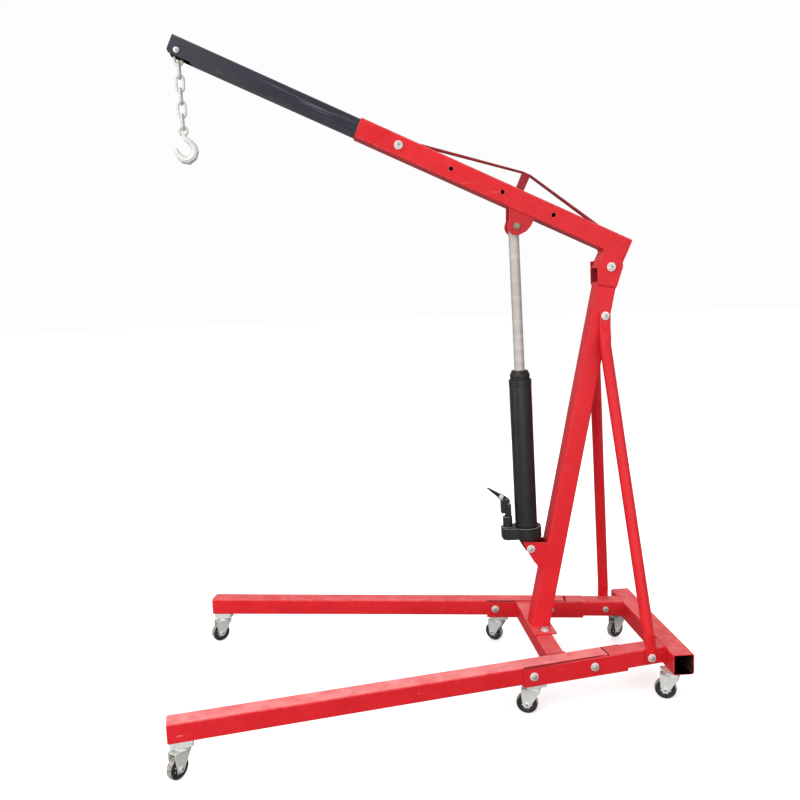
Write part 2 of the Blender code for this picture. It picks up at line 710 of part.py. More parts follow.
def build_boom_pins():
    """Ram pin in two halves, one in each bracket plate, and the extension's lock bolt."""
    pin_u, pin_v = RAM_PIN
    face = 0.028 + GAP
    for name, side in SIDES.items():
        half_pin = bolt_along_y(face - 0.0195, side, radius=PIN_RADIUS, washer=0.0108,
                                nut=False)
        place(half_pin, name + "_ram_pin", ZINC, boom_frame, (-pin_u, side * face, pin_v))
    face = BOOM_WIDTH / 2 + GAP
    lock = bolt_along_y(WALL, -1, nut=False)
    place(lock, "extension_lock_bolt", ZINC, boom_frame, (-HOLE_FIRST, -face, HOLE_V))


def build_extension():
    half = BOOM_WIDTH / 2 - WALL - EXTENSION_PLAY
    low = BOOM_LOW + WALL + EXTENSION_PLAY
    high = BOOM_HIGH - WALL - EXTENSION_PLAY
    tube = boom_block(EXTENSION_TAIL, EXTENSION_TIP, half, low, high)
    bore = boom_block(EXTENSION_TAIL - 0.01, EXTENSION_TIP + 0.01, half - WALL,
                      low + WALL, high - WALL)
    mouth = boom_block(1.498, EXTENSION_TIP + 0.01, half - WALL, low - 0.01, low + 0.02)
    tube = cut(tube, bore, mouth)
    radius = 0.012
    centre = (-EXTENSION_TIP + radius, low + radius)
    corner = [(-EXTENSION_TIP - 0.01, low - 0.01), (centre[0], low - 0.01)]
    corner += arc(*centre, radius, 270.0, 180.0, 5)
    corner += [(-EXTENSION_TIP - 0.01, centre[1])]
    tube = cut(tube, sheet(corner, -0.05, 0.05),
               cross_rod(-TIP_BOLT[0], TIP_BOLT[1], 0.1, TIP_RADIUS + HOLE_PLAY, 14),
               cross_rod(-HOLE_FIRST, HOLE_V, 0.1, BOLT_RADIUS + HOLE_PLAY))
    place(tube, "boom_extension", BLACK, boom_frame)
    face = half + GAP
    pin = bolt_along_y(2 * face, -1, radius=TIP_RADIUS, washer=0.009)
    place(pin, "tip_bolt", ZINC, boom_frame, (-TIP_BOLT[0], -face, TIP_BOLT[1]))


# ---- chain and hook -----------------------------------------------------------------
def link_path(half_length, radius, corner_steps=6):
    """Closed oval in x and z, with its centre at the origin."""
    points = []
    for centre, start in ((half_length - radius, 0.0), (radius - half_length, 180.0)):
        for x, z in arc(0.0, centre, radius, start, start + 180.0, corner_steps):
            points.append((x, 0.0, z))
    return points


def build_chain():
    """Links from the tip bolt down; odd links lie in the XZ plane, even ones across it."""
    radius = LINK_INSIDE_WIDTH / 2 + LINK_WIRE
    length = LINK_INSIDE_LENGTH + 2 * LINK_WIRE
    pitch = length - 2 * LINK_WIRE - GAP
    top = TIP.z + TIP_RADIUS + GAP + LINK_WIRE
    path = link_path(length / 2, radius)
    for index in range(LINK_COUNT):
        centre = Vector((TIP.x, 0.0, top - length / 2 - index * pitch))
        bar = bent_bar(path, [LINK_WIRE] * len(path), closed=True, sides=1)
        turn = pi / 2 if index % 2 else 0.0
        place(bar, "chain_link_%d" % (index + 1), ZINC, None, centre, (0.0, 0.0, turn))
    last = top - length - (LINK_COUNT - 1) * pitch
    build_hook(last + LINK_WIRE + GAP + HOOK_EYE_WIRE - HOOK_EYE_RADIUS)


HOOK_SPINE = [                   # x, z from the eye's centre, and the bar's radius
    (0.0000, -0.0120, 0.0055), (0.0055, -0.0230, 0.0072), (0.0187, -0.0352, 0.0094),
    (0.0302, -0.0484, 0.0108), (0.0335, -0.0638, 0.0119), (0.0270, -0.0803, 0.0132),
    (0.0121, -0.0913, 0.0141), (-0.0044, -0.0880, 0.0127), (-0.0160, -0.0770, 0.0099),
    (-0.0235, -0.0644, 0.0072), (-0.0270, -0.0530, 0.0042)]


def build_hook(eye_height):
    eye_steps = 16
    ring = [(HOOK_EYE_RADIUS * cos(tau * i / eye_steps), 0.0,
             HOOK_EYE_RADIUS * sin(tau * i / eye_steps)) for i in range(eye_steps)]
    eye = bent_bar(ring, [HOOK_EYE_WIRE] * eye_steps, closed=True)
    spine = bent_bar([(x, 0.0, z) for x, z, _ in HOOK_SPINE], [r for *_, r in HOOK_SPINE])
    place(join(eye, spine), "hook", ZINC, None, (TIP.x, 0.0, eye_height))


# ---- jack ---------------------------------------------------------------------------
def build_jack_base():
    """Foot casting: boss under the cylinder, arm with the pump barrel, and the foot lug."""
    low = 0.036
    arm = [(-BASE_REACH, -0.018), (-BASE_REACH + 0.012, -0.030), (RAM_AXIS_X, -0.040),
           (RAM_AXIS_X, 0.040), (-BASE_REACH + 0.012, 0.030), (-BASE_REACH, 0.018)]
    slab = sheet(arm, low, CYLINDER_FROM)
    slab = moved(slab, Matrix(((1, 0, 0, 0), (0, 0, 1, 0), (0, 1, 0, 0), (0, 0, 0, 1))))
    boss = rod((RAM_AXIS_X, 0, low), (RAM_AXIS_X, 0, CYLINDER_FROM), 0.051, 32)
    lug = [(-0.040, low + 0.004), (-0.014, -0.010), (0.000, -0.015), (0.013, -0.008),
           (0.022, low + 0.004)]
    foot = sheet(lug, -0.024, 0.024)
    barrel = rod((PUMP_X, 0, 0.060), (PUMP_X, 0, PUMP_BARREL_TOP), 0.0165, 20)
    base = join(boss, slab, foot, barrel)
    pivot_x, pivot_z = LEVER_PIVOT
    for side in (-1, 1):
        cheek = [(PUMP_X - 0.005, PUMP_BARREL_TOP - 0.014),
                 (pivot_x + 0.0065, PUMP_BARREL_TOP - 0.014)]
        cheek += arc(pivot_x, pivot_z, 0.0075, 0.0, 180.0, 4)
        base = join(base, sheet(cheek, *sorted((side * 0.0115, side * 0.0150))))
    base = cut(base, cross_rod(0.0, 0.0, 0.05, BOLT_RADIUS + 2 * HOLE_PLAY),
               cross_rod(pivot_x, pivot_z, 0.05, 0.0045),
               rod((PUMP_X, 0, 0.084), (PUMP_X, 0, 0.140), 0.0083))
    place(base, "jack_base", BLACK, jack_frame)


def build_jack_cylinder():
    low = CYLINDER_FROM + GAP
    cap = CYLINDER_TO - 0.016
    profile = [(CYLINDER_BORE, low), (CYLINDER_RADIUS, low), (CYLINDER_RADIUS, CYLINDER_TO),
               (0.020, CYLINDER_TO), (0.020, cap), (CYLINDER_BORE, cap)]
    place(turned(profile, 32), "jack_cylinder", BLACK, jack_frame, (RAM_AXIS_X, 0, 0))


def build_jack_gland():
    low = CYLINDER_TO + GAP
    profile = [(RAM_RADIUS + HOLE_PLAY, low), (0.0338, low), (0.0338, low + 0.018),
               (0.0270, low + 0.0305), (RAM_RADIUS + HOLE_PLAY, low + 0.0305)]
    place(turned(profile, 24), "jack_gland", BLACK, jack_frame, (RAM_AXIS_X, 0, 0))


def build_jack_ram():
    """Ram with its piston inside the cylinder and its eye at the ram pin."""
    shaft = rod((RAM_AXIS_X, 0, PISTON_FROM + 0.001), (RAM_AXIS_X, 0, JACK_LENGTH - 0.004),
                RAM_RADIUS, 24)
    piston = rod((RAM_AXIS_X, 0, PISTON_FROM), (RAM_AXIS_X, 0, PISTON_TO),
                 CYLINDER_BORE - 2 * HOLE_PLAY, 32)
    eye = cross_rod(0.0, JACK_LENGTH, 0.0185, 0.0205, 24)
    ram = join(shaft, piston, eye)
    ram = cut(ram, cross_rod(0.0, JACK_LENGTH, 0.05, PIN_RADIUS + HOLE_PLAY, 14))
    place(ram, "jack_ram", CHROME, jack_frame)


def build_pump():
    plunger = rod((PUMP_X, 0, 0.090), (PUMP_X, 0, 0.1255), 0.008, 16)
    place(plunger, "pump_plunger", ZINC, jack_frame)
    pivot_x, pivot_z = LEVER_PIVOT
    body = block((PUMP_X - 0.021, -0.011, 0.1275), (pivot_x + 0.004, 0.011, 0.176))
    trunnion = cross_rod(pivot_x, pivot_z, 0.0160, 0.0042, 12)
    slope = radians(38.0)
    rise = Vector((-cos(slope), 0.0, sin(slope)))
    root = Vector((PUMP_X - 0.003, 0.0, 0.172))
    collar = rod(root, root + rise * 0.024, 0.0105, 16)
    spike = rod(root + rise * 0.018, root + rise * 0.080, 0.0088, 16, 0.0026)
    lever = join(body, trunnion, collar, spike)
    lever = moved(lever, Matrix.Translation((-pivot_x, 0.0, -pivot_z)))
    place(lever, "pump_lever", BLACK, jack_frame, (pivot_x, 0.0, pivot_z))


# ---- build --------------------------------------------------------------------------
build_rear_cross_tube()
for side_name, side_sign in SIDES.items():
    build_stub_tube(side_name, side_sign)
    build_side_channel(side_name)
    build_brace(side_name, side_sign)
    build_leg(side_name)
build_cross_member()
build_mast()
build_base_bolts()
build_foot_bolts()
build_casters()
build_boom()
build_truss_strap()
build_boom_pins()
build_extension()
build_chain()
build_jack_base()
build_jack_cylinder()
build_jack_gland()
build_jack_ram()
build_pump()

for obj in parts.objects:
    if obj.type == "MESH":
        obj.data.shade_smooth()
        obj.data.set_sharp_from_angle(angle=radians(30.0))
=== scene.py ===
"""Looks of the folding engine hoist: rounded tubes, welds, hex bolts, casters, chain,
paint and bare metal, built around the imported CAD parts. Metres, +Z up, boom along -X."""
import json
from math import cos, pi, radians, sin, sqrt, tau

import bmesh
import bpy
from mathutils import Matrix, Vector


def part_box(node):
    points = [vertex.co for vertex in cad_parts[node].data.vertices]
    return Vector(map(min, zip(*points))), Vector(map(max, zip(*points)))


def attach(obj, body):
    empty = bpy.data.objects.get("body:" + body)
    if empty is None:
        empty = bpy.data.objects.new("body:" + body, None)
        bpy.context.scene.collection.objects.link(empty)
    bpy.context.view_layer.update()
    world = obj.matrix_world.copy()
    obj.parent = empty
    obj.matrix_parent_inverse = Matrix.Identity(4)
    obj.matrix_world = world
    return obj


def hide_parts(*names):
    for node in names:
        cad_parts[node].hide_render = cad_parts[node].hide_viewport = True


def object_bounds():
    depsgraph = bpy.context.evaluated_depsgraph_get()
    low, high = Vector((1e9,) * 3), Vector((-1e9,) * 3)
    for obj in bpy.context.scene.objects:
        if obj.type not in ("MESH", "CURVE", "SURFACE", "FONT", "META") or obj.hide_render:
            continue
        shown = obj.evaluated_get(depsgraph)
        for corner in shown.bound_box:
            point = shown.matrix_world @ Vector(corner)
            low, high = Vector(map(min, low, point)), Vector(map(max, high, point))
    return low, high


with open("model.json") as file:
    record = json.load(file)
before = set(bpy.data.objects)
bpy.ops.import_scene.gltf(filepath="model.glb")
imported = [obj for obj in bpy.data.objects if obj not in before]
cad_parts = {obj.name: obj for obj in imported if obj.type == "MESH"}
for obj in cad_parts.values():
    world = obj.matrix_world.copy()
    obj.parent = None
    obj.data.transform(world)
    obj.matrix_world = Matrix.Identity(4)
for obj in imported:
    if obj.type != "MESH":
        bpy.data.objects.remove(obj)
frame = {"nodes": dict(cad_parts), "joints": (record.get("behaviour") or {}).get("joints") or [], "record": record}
CAD_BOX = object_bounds()
NODES = frame["nodes"]
JOINTS = {joint["name"]: joint for joint in frame["joints"]}
BODY_OF = {node: body for body, members in frame["record"]["behaviour"]["bodies"].items()
           for node in members}
SCENE = bpy.context.scene

X = Vector((1.0, 0.0, 0.0))
Y = Vector((0.0, 1.0, 0.0))
UP = Vector((0.0, 0.0, 1.0))
SIDES = {"left": -1, "right": 1}
CASTERS = [place + "_" + side for place in ("front", "middle", "rear") for side in SIDES]
FLAT = Matrix.Identity(4)
FLOOR_Z = CAD_BOX[0][2]

# ---- sizes that the frame doesn't state ------------------
WALL = 0.004                     # of every square tube
TUBE_CORNER = 0.0065             # outer corner radius of the red tubes
MAST_LEAN = radians(11.4)
MAST_DEPTH = 0.065
MAST_WIDTH = 0.068
MAST_TOP = -0.0545               # open end of the mast, below the pivot along the mast
BOOM_WIDTH = 0.067
BOOM_LOW = 0.045                 # the boom's underside and top, over its pivot
BOOM_HIGH = 0.111
NECK_FRONT = 0.042
TABS_REAR = -0.25                # the ram's tabs lie in front of this, the neck behind it
RAIL_HALF = 0.030                # half the width of the legs and stubs
EAR_THICK = 0.0058
LUG_SPAN = (0.0275, 0.0335)      # inner and outer face of a jack lug, from the middle
LEG_GAP = 0.004                  # that each leg is shorter by, at its pivot's end
CHANNEL_DROP = 0.0042            # of a channel's lips at its front end
SHADE_DEPTH = 0.011              # of the painted shadow band on a leg's side, within the channel
CAD_GAP = 0.0003                 # between neighbouring CAD solids
BOLT_HEAD = 0.0104               # washer and head of a CAD bolt
WASHER = 0.002                   # thickness of a washer under a head
NUT_WASHER = 0.0018
NUT_STAND = 0.0021               # of a far nut's seat, past the piece that the bolt crosses
THREAD_PITCH = 0.0013
BOLT_TURN = radians(17.0)        # of every hexagon, about its bolt
BRACE_FLAT = 0.0195              # half width of a brace's pressed ends
BRACE_THICK = 0.0045             # half thickness of them
BRACE_RADIUS = 0.019
BRACE_RUN = 0.030                # length of the flat, from its bolt
BRACE_TOP_ROUND = Vector((-0.005, 0.020, -0.100))      # where the tube is round again,
BRACE_FOOT_ROUND = Vector((-0.0050, -0.0150, 0.084))   # from the bolt of that end
LEVER_SLOPE = radians(38.0)      # of the lever's spike, over the jack's x axis
SLEEVE_FROM = 0.050              # ends of the bare sleeve, along the spike from its tip
SLEEVE_TO = 0.064
EDGE = 0.0007                    # radius of a broken edge
WELD = 0.0032                    # radius of a weld bead
WELD_PITCH = 0.0055              # length of one ripple
RIPPLE = (0.80, 1.0, 0.93)       # its radii along that length, as parts of the bead's


# ---- frames from the joints ------------------------------
def joint_place(name):
    return Vector(JOINTS[name]["pos_m"])


def joint_axis(name):
    return Vector(JOINTS[name]["axis"])


def basis(origin, x_axis, z_axis):
    """Matrix of a frame with the given origin, x axis and (roughly) z axis."""
    x_axis = x_axis.normalized()
    z_axis = (z_axis - x_axis * x_axis.dot(z_axis)).normalized()
    matrix = Matrix((x_axis, z_axis.cross(x_axis), z_axis)).transposed().to_4x4()
    matrix.translation = origin
    return matrix


def rail_frame(name):
    """At the leg pivot, x along the rail to the rear, heights as in the shared frame."""
    pivot = joint_place("fold_" + name + "_leg")
    across = joint_axis("fold_" + name + "_leg")
    return basis(Vector((pivot.x, pivot.y, 0.0)), across.cross(UP), UP)


BOOM = basis(joint_place("boom_lift"), joint_axis("boom_extend"), UP)
MAST = Matrix.Translation(joint_place("boom_lift")) @ Matrix.Rotation(MAST_LEAN, 4, "Y")
JACK = basis(joint_place("jack_tilt"), Y.cross(joint_axis("ram_extend")),
             joint_axis("ram_extend"))
RAILS = {name: rail_frame(name) for name in SIDES}


def turned_to(direction):
    """A turn that takes +Z to a direction."""
    return direction.to_track_quat("Z", "Y").to_matrix().to_4x4()


def local_box(node_name, matrix):
    """Lowest and highest corner of a CAD node in a frame."""
    inverse = matrix.inverted()
    points = [inverse @ vertex.co for vertex in NODES[node_name].data.vertices]
    low = Vector([min(point[i] for point in points) for i in range(3)])
    high = Vector([max(point[i] for point in points) for i in range(3)])
    return low, high


# ---- materials -------------------------------------------
def feed(tree, socket, value):
    """Links a socket to another or sets its value; a colour is three numbers."""
    if isinstance(value, bpy.types.NodeSocket):
        tree.links.new(value, socket)
    elif socket.type == "RGBA":
        socket.default_value = (*value, 1.0)
    else:
        socket.default_value = value


def node(tree, kind, inputs=None, **settings):
    made = tree.nodes.new("ShaderNode" + kind)
    for key, value in settings.items():
        setattr(made, key, value)
    for key, value in (inputs or {}).items():
        feed(tree, made.inputs[key], value)
    return made


def grain(tree, scale, detail=3.0, stretch=None, roughness=0.55):
    """Noise in the object's own coordinates, stretched by a frame's axes if one is given."""
    place = node(tree, "TexCoord").outputs["Object"]
    if stretch is not None:
        matrix, factors = stretch
        turn = matrix.inverted().to_euler()
        place = node(tree, "Mapping", {"Vector": place, "Rotation": turn}).outputs["Vector"]
        place = node(tree, "Mapping", {"Vector": place, "Scale": factors}).outputs["Vector"]
    return node(tree, "TexNoise", {"Vector": place, "Scale": scale, "Detail": detail,
                                   "Roughness": roughness}).outputs["Fac"]


def ramp(tree, factor, *stops):
    """A colour ramp from (position, grey or colour) stops."""
    made = node(tree, "ValToRGB", {"Fac": factor})
    elements = made.color_ramp.elements
    while len(elements) < len(stops):
        elements.new(0.5)
    for element, (position, colour) in zip(elements, stops):
        element.position = position
        grey = isinstance(colour, (int, float))
        element.color = (colour, colour, colour, 1.0) if grey else (*colour, 1.0)
    return made.outputs["Color"]


def mix(tree, factor, first, second):
    """Blends two colours; the node keeps its colour sockets behind those of other types."""
    return node(tree, "Mix", {0: factor, 6: first, 7: second}, data_type="RGBA").outputs[2]


def maths(tree, operation, *values):
    """The result of a math node."""
    return node(tree, "Math", dict(enumerate(values)), operation=operation).outputs[0]


def bump(tree, height, strength, distance=0.001):
    """A normal that a height disturbs; the distance is in metres."""
    return node(tree, "Bump", {"Height": height, "Strength": strength,
                               "Distance": distance}).outputs["Normal"]


def material(name):
    made = bpy.data.materials.new(name)
    made.use_nodes = True
    return made, made.node_tree, made.node_tree.nodes["Principled BSDF"]


def connect(tree, shader, **sockets):
    names = {"colour": "Base Color", "roughness": "Roughness", "metallic": "Metallic",
             "normal": "Normal", "coat": "Coat Weight", "coat_roughness": "Coat Roughness",
             "specular": "Specular IOR Level", "glow": "Emission Color",
             "glow_strength": "Emission Strength"}
    for key, value in sockets.items():
        feed(tree, shader.inputs[names[key]], value)


def edge_wear_and_highlight(tree):
    """White on the faces that round_edges made, as far as they are open to rubbing and to the painted edge
    highlight.
    """
    return node(tree, "Attribute", attribute_name="wear").outputs["Fac"]


def edge_patches(tree, low, high, scale=55.0):
    """White in patches on the rounded edges."""
    patches = ramp(tree, grain(tree, scale, 4.0), (low, 0.0), (high, 1.0))
    return maths(tree, "MULTIPLY", edge_wear_and_highlight(tree), patches)


def facing_up(tree, low, high):
    """White on faces that look up: from one height of the normal to another."""
    normal = node(tree, "TexCoord").outputs["Normal"]
    height = node(tree, "SeparateXYZ", {"Vector": normal}).outputs["Z"]
    return ramp(tree, height, (low, 0.0), (high, 1.0))


def red_paint(name="red_enamel", scuff_and_sheen_low=0.12, scuff_and_sheen_high=0.42, scratched=0.12, depth=1.0):
    """Enamel with dust and scratches; pale pink edges, partly chipped paint and partly a painted edge highlight;
    upper faces pink, partly scuffs and partly a painted sheen.
    """
    made, tree, shader = material(name)
    tone = ramp(tree, grain(tree, 5.0, 2.0), (0.3, (0.60 * depth, 0.012, 0.018)),
                (0.7, (0.69 * depth, 0.018, 0.025)))
    blotches = ramp(tree, grain(tree, 42.0, 6.0, roughness=0.7), (0.42, 0.0), (0.66, 0.30))
    tone = mix(tree, blotches, tone, (0.50 * depth, 0.008, 0.014))
    dust = ramp(tree, grain(tree, 38.0, 5.0), (0.58, 0.0), (0.80, 0.16))
    tone = mix(tree, dust, tone, (0.74, 0.10, 0.09))
    # Upper faces turn pink in noisy patches: scuffs, and a painted sheen of reflected light.
    upward = facing_up(tree, 0.45, 0.92)
    scuffs_and_sheen = ramp(tree, grain(tree, 17.0, 6.0, roughness=0.7), (0.34, scuff_and_sheen_low),
                  (0.66, scuff_and_sheen_high))
    tone = mix(tree, maths(tree, "MULTIPLY", upward, scuffs_and_sheen), tone, (0.90, 0.30, 0.30))
    scratches = ramp(tree, grain(tree, 60.0, 2.0, (FLAT, (0.10, 1.6, 1.0))),
                     (0.70, 0.0), (0.74, scratched))
    tone = mix(tree, scratches, tone, (0.86, 0.30, 0.27))
    # Pale pink in patches on the rounded edges: partly chipped paint, partly a painted edge highlight.
    chips = edge_patches(tree, 0.36, 0.66)
    tone = mix(tree, maths(tree, "MULTIPLY", chips, 0.55), tone, (0.88, 0.34, 0.32))
    gloss = ramp(tree, grain(tree, 14.0, 3.0), (0.3, 0.36), (0.7, 0.48))
    peel = bump(tree, grain(tree, 420.0, 1.0), 0.10, 0.0004)
    connect(tree, shader, colour=tone, roughness=gloss, normal=peel, specular=0.20)
    return made


def shade_red_paint():
    """Dark dull red as painted shade: for the strap, and for red faces that get no light."""
    made, tree, shader = material("strap_enamel")
    tone = ramp(tree, grain(tree, 24.0, 3.0), (0.3, (0.20, 0.010, 0.016)),
                (0.7, (0.30, 0.014, 0.020)))
    connect(tree, shader, colour=tone, roughness=0.5, specular=0.2,
            normal=bump(tree, grain(tree, 300.0), 0.1, 0.0004))
    return made


def tube_inside():
    """Bare steel gone brown, and darkened nearly to black as painted shade: almost unlit."""
    made, tree, shader = material("tube_inside")
    tone = ramp(tree, grain(tree, 30.0, 4.0), (0.35, (0.014, 0.008, 0.005)),
                (0.70, (0.060, 0.030, 0.018)))
    connect(tree, shader, colour=tone, roughness=0.85, normal=bump(tree, grain(tree, 90.0), 0.3),
            specular=0.15)
    return made


def blue_black_paint():
    """The extension's paint: rubbed along the slide, rust on its worn edges."""
    made, tree, shader = material("extension_enamel")
    tone = ramp(tree, grain(tree, 9.0, 3.0), (0.30, (0.008, 0.009, 0.018)),
                (0.70, (0.018, 0.019, 0.030)))
    rub = ramp(tree, grain(tree, 70.0, 3.0, (BOOM, (0.06, 1.0, 1.0))), (0.58, 0.0),
               (0.72, 0.45))
    tone = mix(tree, rub, tone, (0.20, 0.20, 0.23))
    rust = ramp(tree, grain(tree, 26.0, 4.0, (BOOM, (0.25, 1.0, 1.0))), (0.60, 0.0),
                (0.70, 0.5))
    # The rounded edges turn grey: partly rubbed paint, partly a painted edge highlight.
    edge = edge_wear_and_highlight(tree)
    tone = mix(tree, edge, tone, (0.12, 0.115, 0.12))
    tone = mix(tree, maths(tree, "MULTIPLY", edge, rust), tone, (0.42, 0.14, 0.05))
    gloss = ramp(tree, rub, (0.0, 0.40), (0.45, 0.30))
    connect(tree, shader, colour=tone, roughness=gloss, specular=0.35,
            normal=bump(tree, grain(tree, 300.0, 2.0), 0.10, 0.0004))
    return made


def jack_paint():
    """Black with fine specks, chipped on edges that look up."""
    made, tree, shader = material("jack_enamel")
    tone = ramp(tree, grain(tree, 16.0, 3.0), (0.3, (0.009, 0.008, 0.008)),
                (0.7, (0.017, 0.015, 0.014)))
    specks = ramp(tree, grain(tree, 190.0, 2.0), (0.70, 0.0), (0.74, 0.40))
    tone = mix(tree, specks, tone, (0.32, 0.30, 0.28))
    chips = maths(tree, "MULTIPLY", facing_up(tree, 0.15, 0.50),
                  edge_patches(tree, 0.34, 0.46, 70.0))
    tone = mix(tree, chips, tone, (0.30, 0.28, 0.26))
    connect(tree, shader, colour=tone, roughness=0.40, specular=0.30,
            normal=bump(tree, grain(tree, 210.0, 3.0), 0.16, 0.0005))
    return made


def zinc_plate(name, tone, low, high, metal):
    """Plated steel: its tone, the range of its roughness and how metallic it looks."""
    made, tree, shader = material(name)
    spangle = grain(tree, 120.0, 4.0)
    shade = tuple(value * 0.80 for value in tone)
    connect(tree, shader, colour=ramp(tree, spangle, (0.30, shade), (0.68, tone)),
            roughness=ramp(tree, grain(tree, 45.0), (0.3, low), (0.7, high)),
            metallic=metal, normal=bump(tree, spangle, 0.10, 0.0003))
    return made


def ground_steel():
    """Ram: ground and oiled, with faint rings where the gland wipes it."""
    made, tree, shader = material("ground_steel")
    rings = grain(tree, 30.0, 3.0, (JACK, (0.05, 0.05, 1.6)))
    tone = ramp(tree, rings, (0.30, (0.36, 0.325, 0.305)), (0.66, (0.50, 0.46, 0.43)))
    connect(tree, shader, colour=tone, metallic=0.25,
            roughness=ramp(tree, rings, (0.3, 0.40), (0.7, 0.55)),
            normal=bump(tree, grain(tree, 160.0, 2.0, (JACK, (0.1, 0.1, 1.0))), 0.06, 0.0003))
    return made


def wheel_plastic():
    made, tree, shader = material("wheel_nylon")
    tone = ramp(tree, grain(tree, 60.0, 3.0), (0.35, (0.012, 0.011, 0.012)),
                (0.70, (0.030, 0.027, 0.028)))
    connect(tree, shader, colour=tone, roughness=0.42,
            normal=bump(tree, grain(tree, 260.0, 2.0), 0.15, 0.0004))
    return made


def wheel_tread():
    """The rolling band, scuffed grey by the floor."""
    made, tree, shader = material("wheel_tread")
    scuff = grain(tree, 85.0, 5.0)
    tone = ramp(tree, scuff, (0.30, (0.13, 0.12, 0.11)), (0.62, (0.42, 0.38, 0.34)))
    connect(tree, shader, colour=tone, roughness=0.75,
            normal=bump(tree, scuff, 0.30, 0.0006))
    return made


RED = red_paint()
# For the left leg: more scratches, and a stronger painted pink sheen on its upper faces.
SCUFFED_SHEEN_RED = red_paint("scuffed_red_enamel", 0.42, 0.92, 0.40)
# SHADED_RED: the red darkened by depth, a painted shade for the ram's tabs.
SHADED_RED = red_paint("shaded_red_enamel", depth=0.74)
INSIDE_SHADE = tube_inside()
DARK = blue_black_paint()
JACK_BLACK = jack_paint()
ZINC = zinc_plate("zinc_plate", (0.84, 0.84, 0.81), 0.30, 0.46, 0.35)
FORK_ZINC = zinc_plate("fork_zinc", (0.74, 0.74, 0.71), 0.36, 0.54, 0.30)
BOLT_CORE = zinc_plate("bolt_head", (0.64, 0.63, 0.60), 0.30, 0.46, 0.45)
YELLOWED_ZINC = zinc_plate("yellowed_zinc", (0.27, 0.29, 0.20), 0.35, 0.5, 0.3)
DARK_STEEL = zinc_plate("dark_steel", (0.40, 0.385, 0.37), 0.35, 0.5, 0.5)
CHAIN_STEEL = zinc_plate("chain_zinc", (0.66, 0.64, 0.61), 0.34, 0.50, 0.20)
PAINTED_SHADE_RED = shade_red_paint()
RAM_STEEL = ground_steel()
NYLON = wheel_plastic()
TREAD = wheel_tread()


# ---- mesh helpers ----------------------------------------
def finish_piece(bm, name, materials, body, stands_for=(), sharp=38.0):
    """A bmesh in world coordinates becomes a piece that rides on a body."""
    bmesh.ops.recalc_face_normals(bm, faces=bm.faces)
    mesh = bpy.data.meshes.new(name)
    bm.to_mesh(mesh)
    bm.free()
    for item in materials:
        mesh.materials.append(item)
    mesh.shade_smooth()
    mesh.set_sharp_from_angle(angle=radians(sharp))
    obj = bpy.data.objects.new(name, mesh)
    SCENE.collection.objects.link(obj)
    weighted = obj.modifiers.new("weighted_normals", "WEIGHTED_NORMAL")
    weighted.keep_sharp = True
    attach(obj, body)
    if stands_for:
        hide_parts(*stands_for)
    return obj


def finish_node(bm, node_name, suffix, materials, sharp=38.0):
    """A bmesh becomes the piece that stands for a CAD node, on that node's body."""
    return finish_piece(bm, node_name + suffix, materials, BODY_OF[node_name], [node_name],
                        sharp)


def stitch(bm, first, second, index=0):
    """Faces between two rings, either of which may be a single point."""
    count = max(len(first), len(second))
    for step in range(count):
        after = (step + 1) % count
        corners = [first[step % len(first)], first[after % len(first)],
                   second[after % len(second)], second[step % len(second)]]
        unique = list(dict.fromkeys(corners))
        bm.faces.new(unique).material_index = index


def add_lathe(bm, profile, segments, matrix, index=0):
    """Adds a turned solid about the frame's z axis: (radius, height) points."""
    rings = []
    for radius, height in profile:
        if radius < 0.00001:
            rings.append([bm.verts.new(matrix @ Vector((0.0, 0.0, height)))])
            continue
        rings.append([bm.verts.new(matrix @ Vector((radius * cos(tau * i / segments),
                                                    radius * sin(tau * i / segments), height)))
                      for i in range(segments)])
    for first, second in zip(rings, rings[1:]):
        stitch(bm, first, second, index)


def disc(radius, low, high):
    """The profile of a flat disc."""
    return [(0.0, low), (radius, low), (radius, high), (0.0, high)]


def rounded(profile, radius):
    """The profile with a small arc at each corner between its ends."""
    steps = 3
    points = [Vector(point) for point in profile]
    result = [points[0]]
    for before, corner, after in zip(points, points[1:], points[2:]):
        reach = min(radius, (before - corner).length / 2.2, (after - corner).length / 2.2)
        start = corner + (before - corner).normalized() * reach
        end = corner + (after - corner).normalized() * reach
        for step in range(steps + 1):
            t = step / steps
            result.append(start * (1 - t) ** 2 + corner * 2 * t * (1 - t) + end * t ** 2)
    result.append(points[-1])
    return [tuple(point) for point in result]


def add_sweep(bm, points, radii, normal, segments, closed=False):
    """Adds a round bar along a path in the plane with the given normal."""
    normal = normal.normalized()
    rings = []
    count = len(points)
    for at, (point, radius) in enumerate(zip(points, radii)):
        before = points[(at - 1) % count] if closed or at else point
        after = points[(at + 1) % count] if closed or at < count - 1 else point
        side = (after - before).normalized().cross(normal)
        rings.append([bm.verts.new(point + normal * radius * sin(tau * i / segments)
                                   + side * radius * cos(tau * i / segments))
                      for i in range(segments)])
    if closed:
        stitch(bm, rings[-1], rings[0])
    else:
        bm.faces.new(rings[0])
        bm.faces.new(rings[-1])
    for first, second in zip(rings, rings[1:]):
        stitch(bm, first, second)


def cleaned(node_name):
    """A CAD node's mesh with its flat faces whole again."""
    bm = bmesh.new()
    bm.from_mesh(NODES[node_name].data)
    bmesh.ops.remove_doubles(bm, verts=bm.verts, dist=0.00002)
    bmesh.ops.dissolve_limit(bm, angle_limit=radians(1.0), verts=bm.verts, edges=bm.edges)
    for face in bm.faces:
        face.material_index = 0
    return bm


